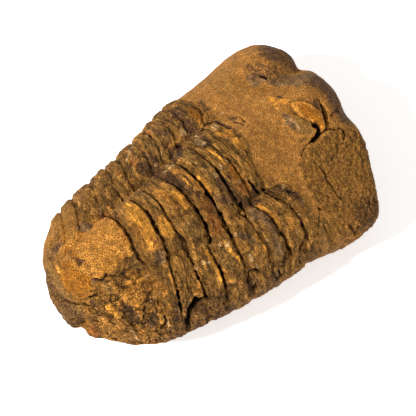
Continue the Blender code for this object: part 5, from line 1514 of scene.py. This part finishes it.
    # laid last: dark specks, pale crumbs and the near-black painted shade of the cracks
    covers = (
        (step("MULTIPLY", spots, spread, 2100, -700), palette["specks"]),
        (step("MULTIPLY", rock["Crumbs"], spread, 2100, -900), palette["pale"][0]),
        (mask("crackShade", *finish["crackShadeEdge"], 2000, -300), palette["crackShade"]),
    )
    for number, (cover, shade) in enumerate(covers):
        colour = blendColour(tree, cover, colour, linearColour(*shade), 2150 + 90 * number, 300)
    feed(tree, shader.inputs["Base Color"], colour)

    rough = contrast(tree, rock["Mottle"], 0.0, 1.0, 2200, -100, *finish["roughness"])
    feed(tree, shader.inputs["Roughness"], rough)
    smooth = step("MULTIPLY", painted["sand"], 1 - finish["sandBump"], 1900, -400)
    base = step("SUBTRACT", 1.0, smooth, 2050, -550)
    strength = step("MULTIPLY_ADD", painted["slab"], finish["slabBump"], 2200, -400, base)
    fineHeight = step("MULTIPLY", rock["Height"], strength, 2350, -400)
    onBands = step("MULTIPLY", ribbed, finish["bandBump"], 2200, -700)
    bandHeight = step("MULTIPLY", streak, onBands, 2350, -700)
    knobby = step("MULTIPLY", rock["Knobs"], painted["slab"], 2350, -900)
    knobHeight = step("MULTIPLY_ADD", knobby, finish["knobBump"], 2400, -700, bandHeight)
    height = step("ADD", fineHeight, knobHeight, 2450, -500)
    bump = addNode(tree, "Bump", 2450, -300, {"Distance": finish["bumpDepth"], "Height": height})
    feed(tree, shader.inputs["Normal"], bump.outputs["Normal"])
    shader.inputs["Specular IOR Level"].default_value = finish["specular"]
    return material


mesh.materials.append(brownSiltstone())
print("stone finished")


# The floor and the lamps, in metres
studio = {
    "floorSize": 3.0,
    "floorColour": (0.92, 0.91, 0.89, 1.0),
    "floorRoughness": 0.9,
    "floorGlow": 0.6,  # the floor is a pale light table, which keeps the shadow soft
    "worldStrength": 0.45,
    "keyPower": 10.9,
    "keySize": 0.09,
    "keyDistance": 0.9,
    "keyTurn": (-0.60, 0.0, 0.80),  # towards the lamp, in the camera's right, up and back
}


def makeCamera():
    right, up, back = cameraAxes()
    data = bpy.data.cameras.new("photoCamera")
    data.sensor_width = cameraSet["sensor"]
    data.lens = cameraSet["sensor"] * cameraSet["distance"] / cameraSet["spanAtTarget"]
    data.shift_x = cameraSet["shiftX"]
    data.shift_y = cameraSet["shiftY"]
    camera = bpy.data.objects.new("photoCamera", data)
    camera.matrix_world = Matrix((right, up, back)).transposed().to_4x4()
    camera.location = Vector(cameraSet["lookAt"]) + back * cameraSet["distance"]
    bpy.context.scene.collection.objects.link(camera)
    bpy.context.scene.camera = camera


def makeLights():
    world = bpy.data.worlds.new("studio")
    world.use_nodes = True
    sky = world.node_tree.nodes["Background"]
    sky.inputs["Color"].default_value = (1, 1, 1, 1)
    sky.inputs["Strength"].default_value = studio["worldStrength"]
    bpy.context.scene.world = world
    data = bpy.data.lights.new("keyLamp", "AREA")
    data.size = studio["keySize"]
    data.energy = studio["keyPower"]
    lamp = bpy.data.objects.new("keyLamp", data)
    right, up, back = cameraAxes()
    turnRight, turnUp, turnBack = studio["keyTurn"]
    towards = (right * turnRight + up * turnUp + back * turnBack).normalized()
    lamp.location = Vector(cameraSet["lookAt"]) + towards * studio["keyDistance"]
    lamp.rotation_mode = "QUATERNION"
    lamp.rotation_quaternion = towards.to_track_quat("Z", "Y")
    bpy.context.scene.collection.objects.link(lamp)


def makeFloor():
    bmFloor = bmesh.new()
    bmesh.ops.create_grid(bmFloor, x_segments=1, y_segments=1, size=studio["floorSize"] / 2)
    floorMesh = bpy.data.meshes.new("floor")
    bmFloor.to_mesh(floorMesh)
    bmFloor.free()
    floor = bpy.data.objects.new("floor", floorMesh)
    paper = bpy.data.materials.new("palePaper")
    paper.use_nodes = True
    sockets = paper.node_tree.nodes["Principled BSDF"].inputs
    sockets["Base Color"].default_value = studio["floorColour"]
    sockets["Roughness"].default_value = studio["floorRoughness"]
    sockets["Emission Color"].default_value = (1, 1, 1, 1)
    sockets["Emission Strength"].default_value = studio["floorGlow"]
    floorMesh.materials.append(paper)
    bpy.context.scene.collection.objects.link(floor)


makeCamera()
makeLights()
makeFloor()
bpy.context.scene.view_settings.view_transform = "Standard"
print("camera, lamps and floor made")
